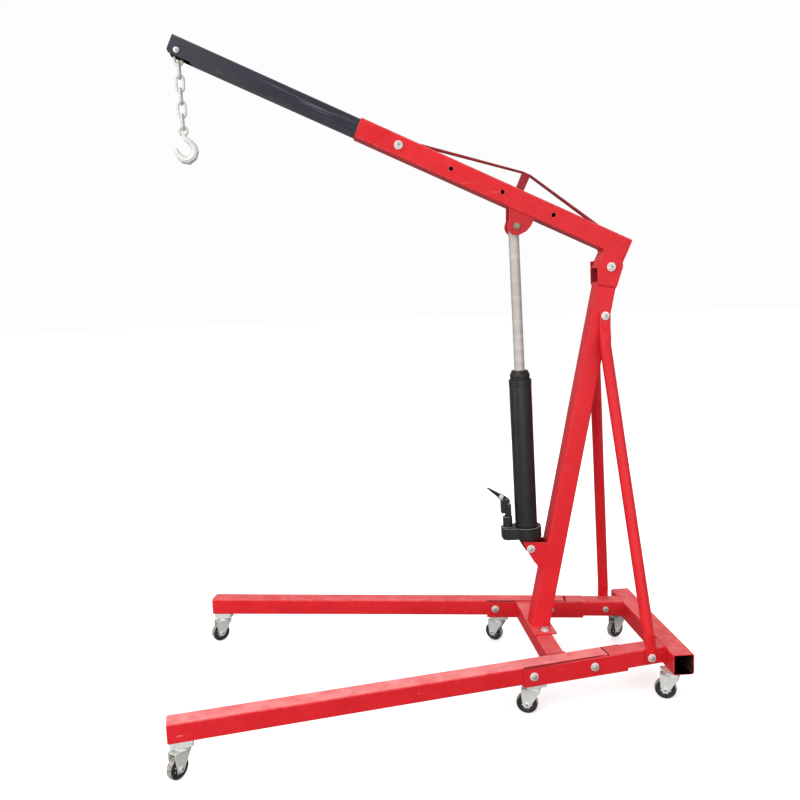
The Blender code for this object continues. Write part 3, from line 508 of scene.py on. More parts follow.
def round_edges(bm, edges, radius, segments, worn=1.0):
    """Bevels edges and marks how open the new faces are to rubbing and to the painted edge highlight."""
    wear = bm.loops.layers.float.get("wear") or bm.loops.layers.float.new("wear")
    made = bmesh.ops.bevel(bm, geom=edges, offset=radius, offset_type="OFFSET",
                           segments=segments, profile=0.5, affect="EDGES",
                           clamp_overlap=False)
    for face in made["faces"]:
        for loop in face.loops:
            loop[wear] = worn


def sharp_edges(bm, angle=35.0):
    """Edges where two faces meet at more than an angle, in degrees."""
    return [edge for edge in bm.edges
            if len(edge.link_faces) == 2 and edge.calc_face_angle(0.0) > radians(angle)]


def corner_edges(bm, matrix, low, high, axis):
    """Edges along one axis that lie on the corners of a box given in a frame."""
    inverse = matrix.inverted()
    across = [i for i in range(3) if i != axis]
    tolerance = 0.0002

    def on_corner(vertex):
        place = inverse @ vertex.co
        return all(min(abs(place[i] - low[i]), abs(place[i] - high[i])) < tolerance
                   for i in across)

    def runs_along(edge):
        run = (inverse.to_3x3() @ (edge.verts[1].co - edge.verts[0].co)).normalized()
        return abs(run[axis]) > 0.95

    return [edge for edge in bm.edges
            if runs_along(edge) and on_corner(edge.verts[0]) and on_corner(edge.verts[1])]


def darken_inside(bm, matrix, low, high, axis, index):
    """Gives the inner walls of a tube their own material, the brown steel darkened as painted shade."""
    inverse = matrix.inverted()
    across = [i for i in range(3) if i != axis]
    slack = WALL * 0.9
    for face in bm.faces:
        places = [inverse @ vertex.co for vertex in face.verts]
        if all(low[i] + slack < place[i] < high[i] - slack for place in places for i in across):
            face.material_index = index


def tube_piece(name, matrix, axis, box=None, corner=TUBE_CORNER, paint=RED, edge=EDGE):
    """A square tube from its CAD node, with rolled corners, broken edges, and its inside darkened as painted
    shade.
    """
    low, high = box or local_box(name, matrix)
    bm = cleaned(name)
    darken_inside(bm, matrix, low, high, axis, 1)
    round_edges(bm, corner_edges(bm, matrix, low, high, axis), corner, 6, 0.25)
    round_edges(bm, sharp_edges(bm), edge, 2)
    return finish_node(bm, name, "_shell", [paint, INSIDE_SHADE])


def edged_piece(name, paint, edge=EDGE):
    """A CAD node with its sharp edges broken."""
    bm = cleaned(name)
    round_edges(bm, sharp_edges(bm), edge, 2)
    return finish_node(bm, name, "_shell", [paint])


# ---- tubes of the frame ----------------------------------
def slide(obj, matrix, chosen, step):
    """Moves the vertices that a test on their place in a frame picks out."""
    inverse = matrix.inverted()
    for vertex in obj.data.vertices:
        place = inverse @ vertex.co
        if chosen(place):
            vertex.co = matrix @ (place + Vector(step))


def bisect(bm, point, normal, clear=False):
    """Cuts a bmesh along a plane and, if asked, drops what lies on the normal's side."""
    bmesh.ops.bisect_plane(bm, geom=bm.verts[:] + bm.edges[:] + bm.faces[:], plane_co=point,
                           plane_no=normal, clear_outer=clear)


def split_across(obj, matrix, *cuts):
    """Cuts a mesh's faces where they cross planes of a frame: (point, normal) pairs."""
    bm = bmesh.new()
    bm.from_mesh(obj.data)
    for point, normal in cuts:
        bisect(bm, matrix @ point, matrix.to_3x3() @ normal)
    bm.to_mesh(obj.data)
    bm.free()


def paint_where(obj, matrix, chosen, index):
    """Gives faces one of the piece's materials where a test picks all their corners."""
    inverse = matrix.inverted()
    vertices = obj.data.vertices
    for face in obj.data.polygons:
        if all(chosen(inverse @ vertices[corner].co) for corner in face.vertices):
            face.material_index = index


def build_rail(name):
    """Stub, leg and channel of one side, with the dark gaps and the shadows painted between them."""
    rail = RAILS[name]
    channel_low, channel_high = local_box(name + "_side_channel", rail)
    leg_high = local_box(name + "_leg", rail)[1]
    end_faces = 0.0012
    stub = tube_piece(name + "_stub_tube", rail, 0)
    # The stub's end by the leg takes the dark inside steel: a painted shadow in the slit.
    paint_where(stub, rail, lambda place: place.x < leg_high.x + 0.012, 1)
    # The left leg's red has more scratches and a stronger painted pink sheen on its top.
    leg = tube_piece(name + "_leg", rail, 0, paint=SCUFFED_SHEEN_RED if name == "left" else RED)
    slide(leg, rail, lambda place: place.x > leg_high.x - end_faces, (-LEG_GAP, 0.0, 0.0))
    shaded = Vector((channel_low.x, 0.0, leg_high.z - SHADE_DEPTH))
    slack = 0.0001
    split_across(leg, rail, (shaded, X), (shaded, UP))
    # A band along the top of the leg's sides, within the channel, takes the dark shade red: a painted shadow.
    leg.data.materials.append(PAINTED_SHADE_RED)
    paint_where(leg, rail, lambda place: place.x > shaded.x - slack
                and place.z > shaded.z - slack
                and abs(place.y) > RAIL_HALF - 0.0045, 2)
    channel = tube_piece(name + "_side_channel", rail, 0, corner=0.0028, edge=0.0005)
    slide(channel, rail, lambda place: place.x < channel_low.x + end_faces
          and place.z > channel_high.z - 0.010, (0.0, 0.0, -CHANNEL_DROP))


def build_boom():
    """Boom, with the neck and the ram's tabs on it, the extension and the strap."""
    low = Vector((-2.0, -BOOM_WIDTH / 2, BOOM_LOW))
    high = Vector((1.0, BOOM_WIDTH / 2, BOOM_HIGH))
    boom = tube_piece("boom_tube", BOOM, 0, (low, high), edge=0.0006)
    boom.data.materials.append(SHADED_RED)
    inverse = BOOM.inverted()
    # Faces of the ram's tabs under the boom take SHADED_RED: a painted shade.
    for face in boom.data.polygons:
        place = inverse @ face.center
        if place.z < BOOM_LOW - 0.0005 and place.x < TABS_REAR:
            face.material_index = 2
    tube_piece("boom_extension", BOOM, 0, corner=0.005, paint=DARK)
    # The strap takes the dark red of painted shade.
    edged_piece("truss_strap", PAINTED_SHADE_RED)


# ---- mast ------------------------------------------------
def arc(centre_x, centre_y, radius, start, end, steps):
    """Points along an arc between two angles in degrees."""
    angles = [radians(start + (end - start) * i / steps) for i in range(steps + 1)]
    return [(centre_x + radius * cos(a), centre_y + radius * sin(a)) for a in angles]


def rounded_square(half_x, half_y, radius):
    """Points of a rectangle with round corners."""
    points = []
    for corner, (sign_x, sign_y) in enumerate(((1, 1), (-1, 1), (-1, -1), (1, -1))):
        points += arc(sign_x * (half_x - radius), sign_y * (half_y - radius), radius,
                      90 * corner, 90 * (corner + 1), 6)
    return points


def add_mast_tube(bm, low, high):
    """Adds the open-ended tube between two heights along the mast, its inner walls darkened as painted shade."""
    half_x, half_y, lip_step = MAST_DEPTH / 2, MAST_WIDTH / 2, 0.0006
    outer = rounded_square(half_x, half_y, TUBE_CORNER)
    lip = rounded_square(half_x - lip_step, half_y - lip_step, TUBE_CORNER - lip_step)
    inner = rounded_square(half_x - WALL, half_y - WALL, TUBE_CORNER - WALL)
    loops = [(outer, low), (outer, high - lip_step), (lip, high), (inner, high), (inner, low)]
    made = [[bm.verts.new(MAST @ Vector((x, y, height))) for x, y in loop]
            for loop, height in loops]
    for index, ring in enumerate(made):
        stitch(bm, ring, made[(index + 1) % len(made)], 1 if index == 3 else 0)


def add_plate(bm, outline, side, span):
    """Adds a flat plate: an outline in x and z, thick across Y, with broken edges. The face
    nearer the middle plane takes the dull paint, because no light gets in there."""
    plate = bmesh.new()
    sides = [[plate.verts.new((x, y, z)) for x, z in outline]
             for y in sorted(side * y for y in span)]
    plate.faces.new(sides[0])
    plate.faces.new(list(reversed(sides[1])))
    stitch(plate, sides[0], sides[1])
    for face in plate.faces:
        if abs(face.calc_center_median().y - side * span[0]) < 0.0001:
            face.material_index = 2
    round_edges(plate, sharp_edges(plate, 50.0), 0.0009, 2)
    absorb(bm, plate)


def absorb(bm, other):
    """Adds one bmesh to another and frees it."""
    mesh = bpy.data.meshes.new("part")
    other.to_mesh(mesh)
    other.free()
    bm.from_mesh(mesh)
    bpy.data.meshes.remove(mesh)


def foot_plate_top():
    """Height of the face that the foot bolts' heads stand on."""
    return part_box("left_foot_bolt")[1].z - BOLT_HEAD - CAD_GAP


def build_mast():
    """Leaning tube, foot plate, ears for the boom pivot and lugs for the jack."""
    pivot = joint_place("boom_lift")
    foot_pin = joint_place("jack_tilt")
    cross_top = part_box("cross_member")[1].z
    bm = bmesh.new()
    bm.loops.layers.float.new("wear")
    tube = bmesh.new()
    tube.loops.layers.float.new("wear")
    add_mast_tube(tube, FLOOR_Z - pivot.z, MAST_TOP)
    bisect(tube, UP * (foot_plate_top() + cross_top) / 2, -UP, clear=True)
    rims = [edge for edge in tube.edges if edge.is_boundary]
    bmesh.ops.edgeloop_fill(tube, edges=rims)
    absorb(bm, tube)
    foot_low, foot_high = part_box("mast")
    bolt_low, bolt_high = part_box("left_foot_bolt")
    plate_x, plate_half = (bolt_low.x + bolt_high.x) / 2 - 0.004, 0.040
    plate = bmesh.new()
    bmesh.ops.create_cube(plate, size=1.0)
    low = Vector((plate_x - plate_half, foot_low.y, cross_top + CAD_GAP))
    high = Vector((plate_x + plate_half, foot_high.y, foot_plate_top()))
    bmesh.ops.scale(plate, vec=high - low, verts=plate.verts)
    bmesh.ops.translate(plate, vec=(low + high) / 2, verts=plate.verts)
    round_edges(plate, plate.edges[:], 0.0009, 2)
    absorb(bm, plate)
    ear = [(-0.0450, -0.0540), (0.0198, -0.0665), *arc(0.0, 0.0030, 0.0405, -28.0, 35.0, 10),
           (0.0380, 0.0316), (-0.0464, 0.0217)]
    lug = [(-0.028, 0.027), (-0.017, -0.002), (0.000, -0.025), (0.029, -0.074),
           (0.043, -0.074), (0.061, 0.018)]
    ear_span = (MAST_WIDTH / 2 - 0.0001, MAST_WIDTH / 2 + EAR_THICK)
    for side in SIDES.values():
        add_plate(bm, [(pivot.x + x, pivot.z + z) for x, z in ear], side, ear_span)
        add_plate(bm, [(foot_pin.x + x, foot_pin.z + z) for x, z in lug], side, LUG_SPAN)
    finish_node(bm, "mast", "_weldment", [RED, INSIDE_SHADE, PAINTED_SHADE_RED])


# ---- braces ----------------------------------------------
def brace_stations(name):
    """Sections along a brace from top to foot: centre, direction, the axis that its width
    runs along, half its width and half its depth. The ends are pressed flat and round off
    past their bolts."""
    side = SIDES[name]
    sideways = Vector((1.0, side, 1.0))
    top_low, top_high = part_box("brace_top_bolt")
    foot_low, foot_high = local_box(name + "_brace_bolt", RAILS[name])
    top = (top_low + top_high) / 2
    top.y = side * (MAST_WIDTH / 2 + CAD_GAP + BRACE_THICK)
    foot = (foot_low + foot_high) / 2
    foot.y = side * (RAIL_HALF + CAD_GAP + BRACE_THICK)
    foot = RAILS[name] @ foot
    top_round = top + sideways * BRACE_TOP_ROUND
    foot_round = foot + sideways * BRACE_FOOT_ROUND
    run = (foot_round - top_round).normalized()
    rail_x = RAILS[name].to_3x3() @ X

    def ease(t):
        return t * t * (3 - 2 * t)

    def rounding(bolt, rise, across):
        wide = sqrt(max(BRACE_FLAT ** 2 - rise ** 2, 1e-8)) + 0.0002
        return bolt + UP * rise, -UP, across, wide, BRACE_THICK

    def swelling(flat_end, round_end, across, t):
        wide = BRACE_FLAT + (BRACE_RADIUS - BRACE_FLAT) * t
        deep = BRACE_THICK + (BRACE_RADIUS - BRACE_THICK) * ease(t)
        return flat_end.lerp(round_end, t), (-UP).lerp(run, ease(t)), across, wide, deep

    rises = [BRACE_FLAT * sin(pi / 2 * i / 7) for i in range(8)]
    parts = [i / 10 for i in range(11)]
    stations = [rounding(top, rise, X) for rise in reversed(rises)]
    stations += [swelling(top - UP * BRACE_RUN, top_round, X, t) for t in parts]
    stations += [swelling(foot + UP * BRACE_RUN, foot_round, rail_x.lerp(X, ease(1 - t)), 1 - t)
                 for t in parts]
    return stations + [rounding(foot, -rise, rail_x) for rise in rises]


def build_brace(name):
    """Round tube with both ends pressed flat against the mast and the rail."""
    segments = 32
    bm = bmesh.new()
    rings = []
    for centre, along, across, wide, deep in brace_stations(name):
        along = along.normalized()
        across = (across - along * across.dot(along)).normalized()
        outwards = along.cross(across)
        # 1 where the tube is round, less where it is pressed: its section grows square
        square = 1.0 - 0.28 * (BRACE_RADIUS - deep) / (BRACE_RADIUS - BRACE_THICK)
        ring = []
        for step in range(segments):
            angle = tau * step / segments
            rise = sin(angle)
            bulge = abs(rise) ** (0.72 * square) * (1 if rise > 0 else -1)
            depth = bulge if square < 0.99 else rise
            ring.append(bm.verts.new(centre + across * wide * cos(angle)
                                     + outwards * deep * depth))
        rings.append(ring)
    for first, second in zip(rings, rings[1:]):
        stitch(bm, first, second)
    bm.faces.new(rings[0])
    bm.faces.new(rings[-1])
    finish_node(bm, name + "_brace", "_tube", [RED], sharp=50.0)


# ---- bolts -----------------------------------------------
def hexagon(bm, radius, seat, face, matrix):
    """A hexagon between its seat and its face, whose corners are chamfered."""
    cut = radius * 0.13
    rise = cut * 0.6 if face > seat else -cut * 0.6
    add_lathe(bm, [(0.0, seat), (radius, seat), (radius, face - rise), (radius - cut, face),
                   (0.0, face)], 6, matrix, 1)


def washer_ring(bm, radius, low, high, matrix):
    add_lathe(bm, rounded(disc(radius, low, high), 0.0006), 40, matrix)


def add_head(bm, kind, radius, low, high, matrix):
    """A hex head with a round mark on its lower face, or a round head."""
    if kind == "hex":
        hexagon(bm, radius, high, low, matrix)
        mark = [(0.0, low - 0.0006), (radius * 0.45, low - 0.0006),
                (radius * 0.52, low + 0.0003), (0.0, low + 0.0003)]
        add_lathe(bm, mark, 24, matrix, 2)
    else:
        dome = [(0.0, high), (radius, high), (radius, high - (high - low) * 0.55),
                (radius * 0.78, low), (0.0, low)]
        add_lathe(bm, rounded(dome, 0.0014), 32, matrix, 1)


def add_thread(bm, radius, start, matrix):
    """The thread that stands out of a nut."""
    end = start + 0.0042
    profile = [(0.0, start - 0.001)]
    for turns in range(3):
        height = start + turns * THREAD_PITCH
        profile += [(radius, height), (radius - 0.0007, height + THREAD_PITCH / 2)]
    add_lathe(bm, profile + [(radius - 0.001, end), (0.0, end)], 24, matrix, 2)


def bolt_piece(name, towards, radius=0.007, washer=0.014, nut=True, head="hex", far=None,
               plating=None):
    """Washer and head in the CAD bolt's place, and a nut with its thread at the far end. far
    is the distance to a nut on a face that the CAD bolt doesn't reach: no shank runs between
    the two, so that the piece in between can slide out."""
    turn = turned_to(towards.normalized())
    low, high = local_box(name, turn)
    tall = radius * 1.2
    hex_radius = washer * 0.80
    seat = low.z + WASHER + tall
    matrix = turn @ Matrix.Translation(((low.x + high.x) / 2, (low.y + high.y) / 2, seat))
    matrix = matrix @ Matrix.Rotation(BOLT_TURN, 4, "Z")
    end = high.z - seat
    nut_seat = far or end - tall
    buried = 0.001
    bm = bmesh.new()
    washer_ring(bm, washer, -WASHER, 0.0, matrix)
    add_head(bm, head, hex_radius, -WASHER - tall, -WASHER, matrix)
    shanks = [(-buried / 2, nut_seat + buried if nut else end)]
    if nut or far:
        hexagon(bm, hex_radius, nut_seat, nut_seat + tall, matrix)
        add_thread(bm, radius * 0.93, nut_seat + tall, matrix)
    if far:
        washer_ring(bm, washer, nut_seat - NUT_WASHER, nut_seat, matrix)
        shanks.append((nut_seat - WALL, nut_seat + buried))
    for start, stop in shanks:
        add_lathe(bm, disc(radius * 0.96, start, stop), 24, matrix)
    finish_node(bm, name, "_hex", [plating or ZINC, plating or BOLT_CORE, DARK_STEEL])


def build_bolts():
    bolt_piece("boom_pivot_bolt", Y, 0.008, 0.0147)
    bolt_piece("brace_top_bolt", Y)
    bolt_piece("jack_foot_pin", Y)
    bolt_piece("extension_lock_bolt", Y, nut=False, far=BOOM_WIDTH + NUT_STAND)
    bolt_piece("tip_bolt", Y, 0.0055, 0.009)
    channel_low, channel_high = local_box("left_side_channel", RAILS["left"])
    channel_width = channel_high.y - channel_low.y
    for name, side in SIDES.items():
        inwards = RAILS[name].to_3x3() @ (Y * -side)
        bolt_piece(name + "_leg_pivot_bolt", inwards)
        bolt_piece(name + "_leg_lock_bolt", inwards, nut=False, far=channel_width + NUT_STAND)
        bolt_piece(name + "_brace_bolt", inwards)
        bolt_piece(name + "_foot_bolt", -UP, nut=False)
        bolt_piece(name + "_ram_pin", Y * -side, 0.008, 0.0108, nut=False, head="round",
                   plating=YELLOWED_ZINC)


# ---- casters ---------------------------------------------
def wheel_frame(name):
    """At a wheel's centre, z along its axle."""
    joint = "wheel_" + name
    return Matrix.Translation(joint_place(joint)) @ turned_to(joint_axis(joint))


def build_wheel(name):
    """Nylon wheel: scuffed tread, sunk web, hub and a ring of rivet heads on both faces."""
    node_name = name + "_caster_wheel"
    matrix = wheel_frame(name)
    low, high = local_box(node_name, matrix.to_3x3().to_4x4())
    half = (high.z - low.z) / 2
    radius = matrix.translation.z - FLOOR_Z
    bore, web, rivet_circle, rivets = 0.0058, half - 0.0030, 0.0170, 8
    bm = bmesh.new()
    shoulder = (radius - 0.0030, half - 0.0022)
    face = [(bore, half), (0.0105, half), (0.0118, half - 0.0022), (0.0225, web),
            (0.0245, half - 0.0004), (0.0300, half - 0.0004), shoulder]
    rim = [shoulder, (radius - 0.0006, half - 0.0048), (radius, 0.0),
           (radius - 0.0006, -half + 0.0048), (shoulder[0], -shoulder[1])]
    other_face = [(r, -z) for r, z in reversed(face)]
    add_lathe(bm, rounded(face, 0.0007), 48, matrix)
    add_lathe(bm, rounded(rim, 0.0012), 48, matrix, 1)
    add_lathe(bm, rounded(other_face, 0.0007), 48, matrix)
    add_lathe(bm, [(bore, -half), (bore, half)], 48, matrix)
    bmesh.ops.remove_doubles(bm, verts=bm.verts, dist=0.000005)
    rivet = [(0.0, 0.0016), (0.0016, 0.0013), (0.0024, 0.0003), (0.0024, -0.0008),
             (0.0, -0.0008)]
    for facing in (-1, 1):
        flip = Matrix.Rotation(0.0 if facing > 0 else pi, 4, "X")
        for index in range(rivets):
            angle = tau * (index + 0.5) / rivets
            seat = Matrix.Translation((rivet_circle * cos(angle), rivet_circle * sin(angle),
                                       facing * web))
            add_lathe(bm, rivet, 12, matrix @ seat @ flip, 2)
    finish_node(bm, node_name, "_nylon", [NYLON, TREAD, ZINC])


def build_fork(name):
    """Pressed fork with its swivel race and, on both cheeks, a nut and the axle's end."""
    node_name = name + "_caster_fork"
    bm = cleaned(node_name)
    round_edges(bm, sharp_edges(bm), EDGE, 2)
    swivel = joint_place("swivel_" + name)
    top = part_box(node_name)[1].z
    neck = Matrix.Translation(Vector((swivel.x, swivel.y, 0.0)))
    race = [(0.0, top - 0.0005), (0.0215, top - 0.0005), (0.0252, top - 0.0040),
            (0.0252, top - 0.0062), (0.0225, top - 0.0075), (0.0, top - 0.0075)]
    add_lathe(bm, rounded(race, 0.0008), 40, neck, 1)
    cheek = 0.0170
    axle_end = [(0.0, cheek + 0.004), (0.0040, cheek + 0.004), (0.0036, cheek + 0.0064),
                (0.0, cheek + 0.0064)]
    for flip in (0.0, pi):
        matrix = wheel_frame(name) @ Matrix.Rotation(flip, 4, "X")
        hexagon(bm, 0.0078, cheek, cheek + 0.0046, matrix)
        add_lathe(bm, axle_end, 20, matrix, 2)
    finish_node(bm, node_name, "_press", [FORK_ZINC, ZINC, DARK_STEEL])


def build_plate(name):
    """Top plate with rounded corners."""
    node_name = name + "_caster_plate"
    bm = cleaned(node_name)
    upright = [edge for edge in bm.edges
               if abs((edge.verts[0].co - edge.verts[1].co).normalized().z) > 0.9]
    round_edges(bm, upright, 0.006, 5)
    round_edges(bm, sharp_edges(bm), EDGE, 2)
    finish_node(bm, node_name, "_pad", [ZINC])


# ---- chain and hook --------------------------------------
def build_links():
    """Round-bar links, each a closed oval with straight sides."""
    for name in [name for name in NODES if name.startswith("chain_link_")]:
        low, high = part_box(name)
        centre = (low + high) / 2
        span = high - low
        flat_axis = X if span.x > span.y else Y
        normal = Y if flat_axis is X else X
        bar = min(span.x, span.y) / 2
        radius = max(span.x, span.y) / 2 - bar
        straight = span.z / 2 - bar - radius
        oval = arc(0.0, straight, radius, 0, 180, 14) + arc(0.0, -straight, radius, 180, 360, 14)
        points = [centre + flat_axis * x + UP * z for x, z in oval]
        bm = bmesh.new()
        add_sweep(bm, points, [bar] * len(points), normal, 14, closed=True)
        finish_node(bm, name, "_bar", [CHAIN_STEEL])


def build_hook():
    """Forged hook: the CAD solid smoothed into one skin."""
    bm = bmesh.new()
    bm.from_mesh(NODES["hook"].data)
    bmesh.ops.remove_doubles(bm, verts=bm.verts, dist=0.00002)
    obj = finish_node(bm, "hook", "_forging", [CHAIN_STEEL], sharp=180.0)
    obj.modifiers.remove(obj.modifiers["weighted_normals"])
    skin = obj.modifiers.new("skin", "REMESH")
    skin.mode = "VOXEL"
    skin.voxel_size = 0.0009
    soft = obj.modifiers.new("soft", "SMOOTH")
    soft.factor = 0.5
    soft.iterations = 7
    evaluated = obj.evaluated_get(bpy.context.evaluated_depsgraph_get())
    smooth = bpy.data.meshes.new_from_object(evaluated)
    obj.modifiers.clear()
    obj.data = smooth
    smooth.shade_smooth()


# ---- jack ------------------------------------------------
def cylinder_profile(low, high, radius):
    bore, neck, barrel = 0.030, 0.020, radius - 0.0006
    return rounded([(bore, low), (radius, low), (radius, low + 0.010), (barrel, low + 0.011),
                    (barrel, high - 0.022), (radius, high - 0.021), (radius, high),
                    (neck, high), (neck, high - 0.010), (bore, high - 0.011), (bore, low)],
                   0.0015)


def gland_profile(low, high, radius):
    bore, groove = 0.0178, radius - 0.0015
    return rounded([(bore, low), (radius, low), (radius, low + 0.005), (groove, low + 0.0062),
                    (groove, low + 0.0074), (radius, low + 0.0086), (radius, low + 0.016),
                    (0.0270, high), (0.0215, high), (0.0205, high - 0.0015),
                    (bore, high - 0.0015), (bore, low)], 0.0008)


def build_jack():
    for name, profile in (("jack_cylinder", cylinder_profile), ("jack_gland", gland_profile)):
        low, high = local_box(name, JACK)
        axis = Matrix.Translation(((low.x + high.x) / 2, 0.0, 0.0))
        bm = bmesh.new()
        add_lathe(bm, profile(low.z, high.z, (high.y - low.y) / 2), 64, JACK @ axis)
        finish_node(bm, name, "_turned", [JACK_BLACK])
    edged_piece("jack_base", JACK_BLACK, 0.0014)
    edged_piece("jack_ram", RAM_STEEL, 0.0008)
    edged_piece("pump_lever", JACK_BLACK, 0.0009)
    edged_piece("pump_plunger", JACK_BLACK, 0.0006)
    build_lever_sleeve()


def build_lever_sleeve():
    """Bare sleeve where the lever's spike leaves its socket."""
    turn = JACK @ Matrix.Rotation(LEVER_SLOPE, 4, "Y")
    inverse = turn.inverted()
    places = [inverse @ vertex.co for vertex in NODES["pump_lever"].data.vertices]
    tip_x = min(place.x for place in places)
    rim = [place for place in places if place.x < tip_x + 0.001]
    tip = sum(rim, Vector()) / len(rim)
    matrix = turn @ Matrix.Translation(tip) @ Matrix.Rotation(pi / 2, 4, "Y")
    bm = bmesh.new()
    add_lathe(bm, rounded(disc(0.0112, SLEEVE_FROM, SLEEVE_TO), 0.0012), 28, matrix)
    finish_piece(bm, "lever_sleeve", [CHAIN_STEEL], BODY_OF["pump_lever"])


# ---- welds -----------------------------------------------
def bead(bm, corners, normal, closed=False, radius=WELD):
    """Adds a rippled bead along straight runs between corners."""
    points = []
    radii = []
    for start, end in zip(corners, corners[1:] + (corners[:1] if closed else [])):
        count = max(2, round((end - start).length / WELD_PITCH * len(RIPPLE)))
        for step in range(count):
            radii.append(radius * RIPPLE[len(points) % len(RIPPLE)])
            points.append(start.lerp(end, step / count))
    if not closed:
        points.append(corners[-1])
        radii.append(radius * 0.5)
        radii[0] = radius * 0.5
    add_sweep(bm, points, radii, normal, 8, closed)


def mast_foot():
    """Corners of the mast's tube where it stands on its foot plate."""
    down = MAST.to_3x3() @ UP
    half_x, half_y = MAST_DEPTH / 2, MAST_WIDTH / 2
    corners = []
    for x, y in ((-half_x, -half_y), (half_x, -half_y), (half_x, half_y), (-half_x, half_y)):
        corner = MAST @ Vector((x, y, 0.0))
        corners.append(corner - down * (corner.z - foot_plate_top()) / down.z)
    return corners


def on_rail(rail, x, y, z):
    """The point at x and z of the shared frame, y of the rail's own."""
    return rail @ Vector(((x - rail.translation.x - rail[0][1] * y) / rail[0][0], y, z))


def build_base_welds():
    bm = bmesh.new()
    bead(bm, mast_foot(), UP, closed=True, radius=0.004)
    cross_low, cross_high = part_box("cross_member")
    cross_corners = ((cross_low.x, cross_low.z), (cross_high.x, cross_low.z),
                     (cross_high.x, cross_high.z), (cross_low.x, cross_high.z))
    tube_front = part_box("rear_cross_tube")[0].x
    pivot = joint_place("boom_lift")
    for name, side in SIDES.items():
        rail = RAILS[name]
        across = rail.to_3x3() @ Y
        channel_low, channel_high = local_box(name + "_side_channel", rail)
        inner = channel_low.y if side > 0 else channel_high.y
        bead(bm, [on_rail(rail, x, inner, z) for x, z in cross_corners], across, closed=True)
        low, high = local_box(name + "_stub_tube", rail)
        top = high.z - 0.0006
        bead(bm, [on_rail(rail, tube_front, y, z) for y, z in (
            (low.y, top), (low.y, low.z), (high.y, low.z), (high.y, top))], X)
        for y in (low.y, high.y):
            bead(bm, [rail @ Vector((channel_high.x, y, z))
                      for z in (channel_high.z - 0.001, low.z + 0.002)], across, radius=0.0036)
        ear = [Vector((pivot.x + x, side * (MAST_WIDTH / 2), pivot.z + z))
               for x, z in ((-0.0440, -0.0542), (0.0190, -0.0664))]
        bead(bm, ear, Y, radius=0.0056)
    finish_piece(bm, "base_welds", [RED], "base")


def build_boom_welds():
    """Neck and tabs under the boom, the strap's ends and the foot of its post on top."""
    bm = bmesh.new()
    boom_x, boom_y = BOOM.to_3x3() @ X, BOOM.to_3x3() @ Y
    rear = local_box("boom_tube", BOOM)[1].x
    for side in SIDES.values():
        y = side * (BOOM_WIDTH / 2 - 0.0014)
        bead(bm, [BOOM @ Vector((x, y, BOOM_LOW)) for x in (-NECK_FRONT, rear - 0.002)],
             boom_y, radius=0.0022)
        bead(bm, [BOOM @ Vector((x, side * 0.0285, BOOM_LOW)) for x in (-0.391, -0.303)],
             boom_y, radius=0.0028)
    bead(bm, [BOOM @ Vector((-NECK_FRONT, y, BOOM_LOW)) for y in (-0.030, 0.030)], boom_x)
    for x in (-0.746, -0.392, -0.368, -0.086):
        bead(bm, [BOOM @ Vector((x, y, BOOM_HIGH)) for y in (-0.010, 0.010)], boom_x,
             radius=0.0026)
    finish_piece(bm, "boom_welds", [RED], "boom")


# ---- light, floor and camera -----------------------------
def build_sky():
    """White as the camera sees it; as light, darker below than above."""
    world = bpy.data.worlds.new("studio")
    SCENE.world = world
    world.use_nodes = True
    tree = world.node_tree
    tree.nodes.clear()
    place = node(tree, "TexCoord").outputs["Generated"]
    height = node(tree, "SeparateXYZ", {"Vector": place}).outputs["Z"]
    sky = ramp(tree, maths(tree, "MULTIPLY_ADD", height, 0.5, 0.5), (0.30, 0.24),
               (0.60, 0.66), (1.0, 0.90))
    seen = node(tree, "Background", {"Color": (1.0, 1.0, 1.0), "Strength": 0.98})
    lit = node(tree, "Background", {"Color": sky, "Strength": 0.85})
    camera_ray = node(tree, "LightPath").outputs["Is Camera Ray"]
    both = node(tree, "MixShader", {0: camera_ray, 1: lit.outputs[0], 2: seen.outputs[0]})
    node(tree, "OutputWorld", {"Surface": both.outputs[0]})


def area_light(name, place, target, size, power):
    data = bpy.data.lights.new(name, "AREA")
    data.shape = "RECTANGLE"
    data.size, data.size_y = size
    data.energy = power
    lamp = bpy.data.objects.new(name, data)
    SCENE.collection.objects.link(lamp)
    lamp.location = place
    lamp.rotation_euler = (Vector(target) - Vector(place)).to_track_quat("-Z", "Y").to_euler()
    lamp.visible_camera = False
    return lamp


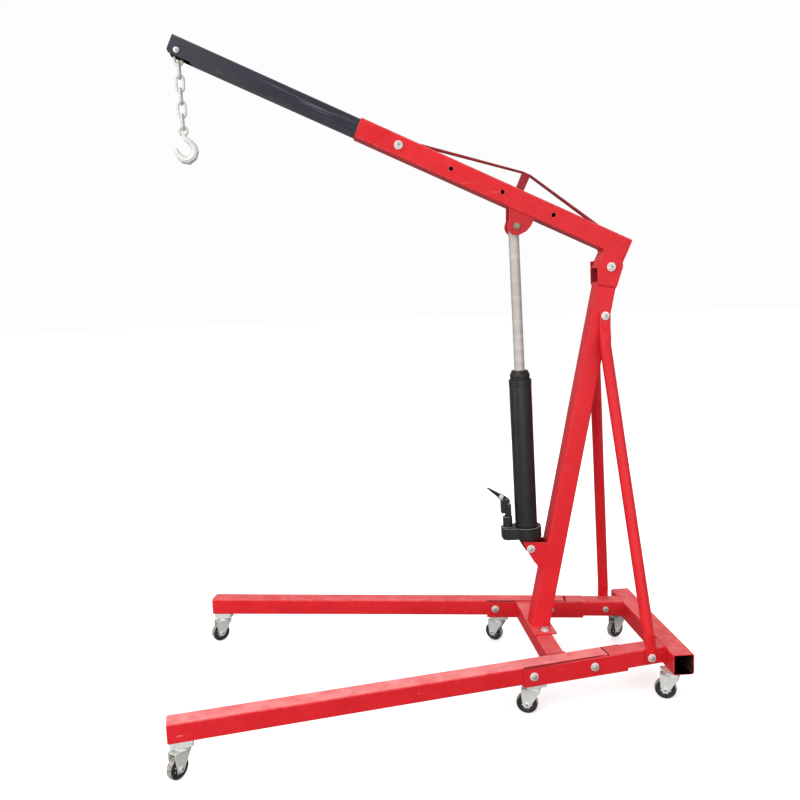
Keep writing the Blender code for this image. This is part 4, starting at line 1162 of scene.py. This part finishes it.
def build_lights():
    middle = (-0.735, 0.0, 0.762)
    area_light("key", (-3.64, -3.4, 4.06), middle, (2.6, 2.6), 138)
    area_light("front", (-4.6, -0.9, 0.9), (-0.4, 0.0, 0.5), (2.0, 2.0), 42)
    area_light("fill", (2.36, -4.2, 1.86), middle, (3.0, 2.4), 52)
    area_light("low_front", (-1.64, -5.0, 0.56), (-0.94, 0.0, 0.36), (5.0, 1.2), 92)
    back = area_light("back", (0.46, 4.4, 2.86), middle, (3.0, 3.0), 90)
    back.visible_glossy = False


def build_floor():
    """A pale floor that glows a little and lends the object no light."""
    mesh = bpy.data.meshes.new("floor")
    bm = bmesh.new()
    bmesh.ops.create_circle(bm, cap_ends=True, segments=64, radius=40.0)
    bm.to_mesh(mesh)
    bm.free()
    floor = bpy.data.objects.new("floor", mesh)
    floor.location.z = FLOOR_Z - 0.0002
    SCENE.collection.objects.link(floor)
    made, tree, shader = material("pale_floor")
    tone = ramp(tree, grain(tree, 3.0, 2.0), (0.3, 0.84), (0.7, 0.87))
    connect(tree, shader, colour=tone, roughness=0.8, specular=0.0, glow=(1.0, 1.0, 1.0),
            glow_strength=0.42)
    mesh.materials.append(made)
    floor.visible_diffuse = False
    floor.visible_glossy = False


def build_camera():
    data = bpy.data.cameras.new("camera")
    camera = bpy.data.objects.new("camera", data)
    SCENE.collection.objects.link(camera)
    data.sensor_width = 36.0
    data.lens = 36.04
    data.clip_end = 200.0
    yaw, pitch, roll = 0.078, 0.134, -0.034
    forward = Vector((sin(yaw) * cos(pitch), cos(yaw) * cos(pitch), -sin(pitch)))
    right = Vector((cos(yaw), -sin(yaw), 0.0))
    above = right.cross(forward)
    turn = Matrix((right * cos(roll) + above * sin(roll),
                   above * cos(roll) - right * sin(roll), -forward)).transposed()
    camera.matrix_world = Matrix.Translation((-1.1158, -2.6759, 1.2298)) @ turn.to_4x4()
    SCENE.camera = camera


# ---- build -----------------------------------------------
tube_piece("rear_cross_tube", FLAT, 1)
tube_piece("cross_member", FLAT, 1)
for side_name in SIDES:
    build_rail(side_name)
build_boom()
build_mast()
for side_name in SIDES:
    build_brace(side_name)
build_bolts()
for caster in CASTERS:
    build_wheel(caster)
    build_fork(caster)
    build_plate(caster)
build_links()
build_hook()
build_jack()
build_base_welds()
build_boom_welds()
build_sky()
build_lights()
build_floor()
build_camera()
SCENE.view_settings.view_transform = "Standard"
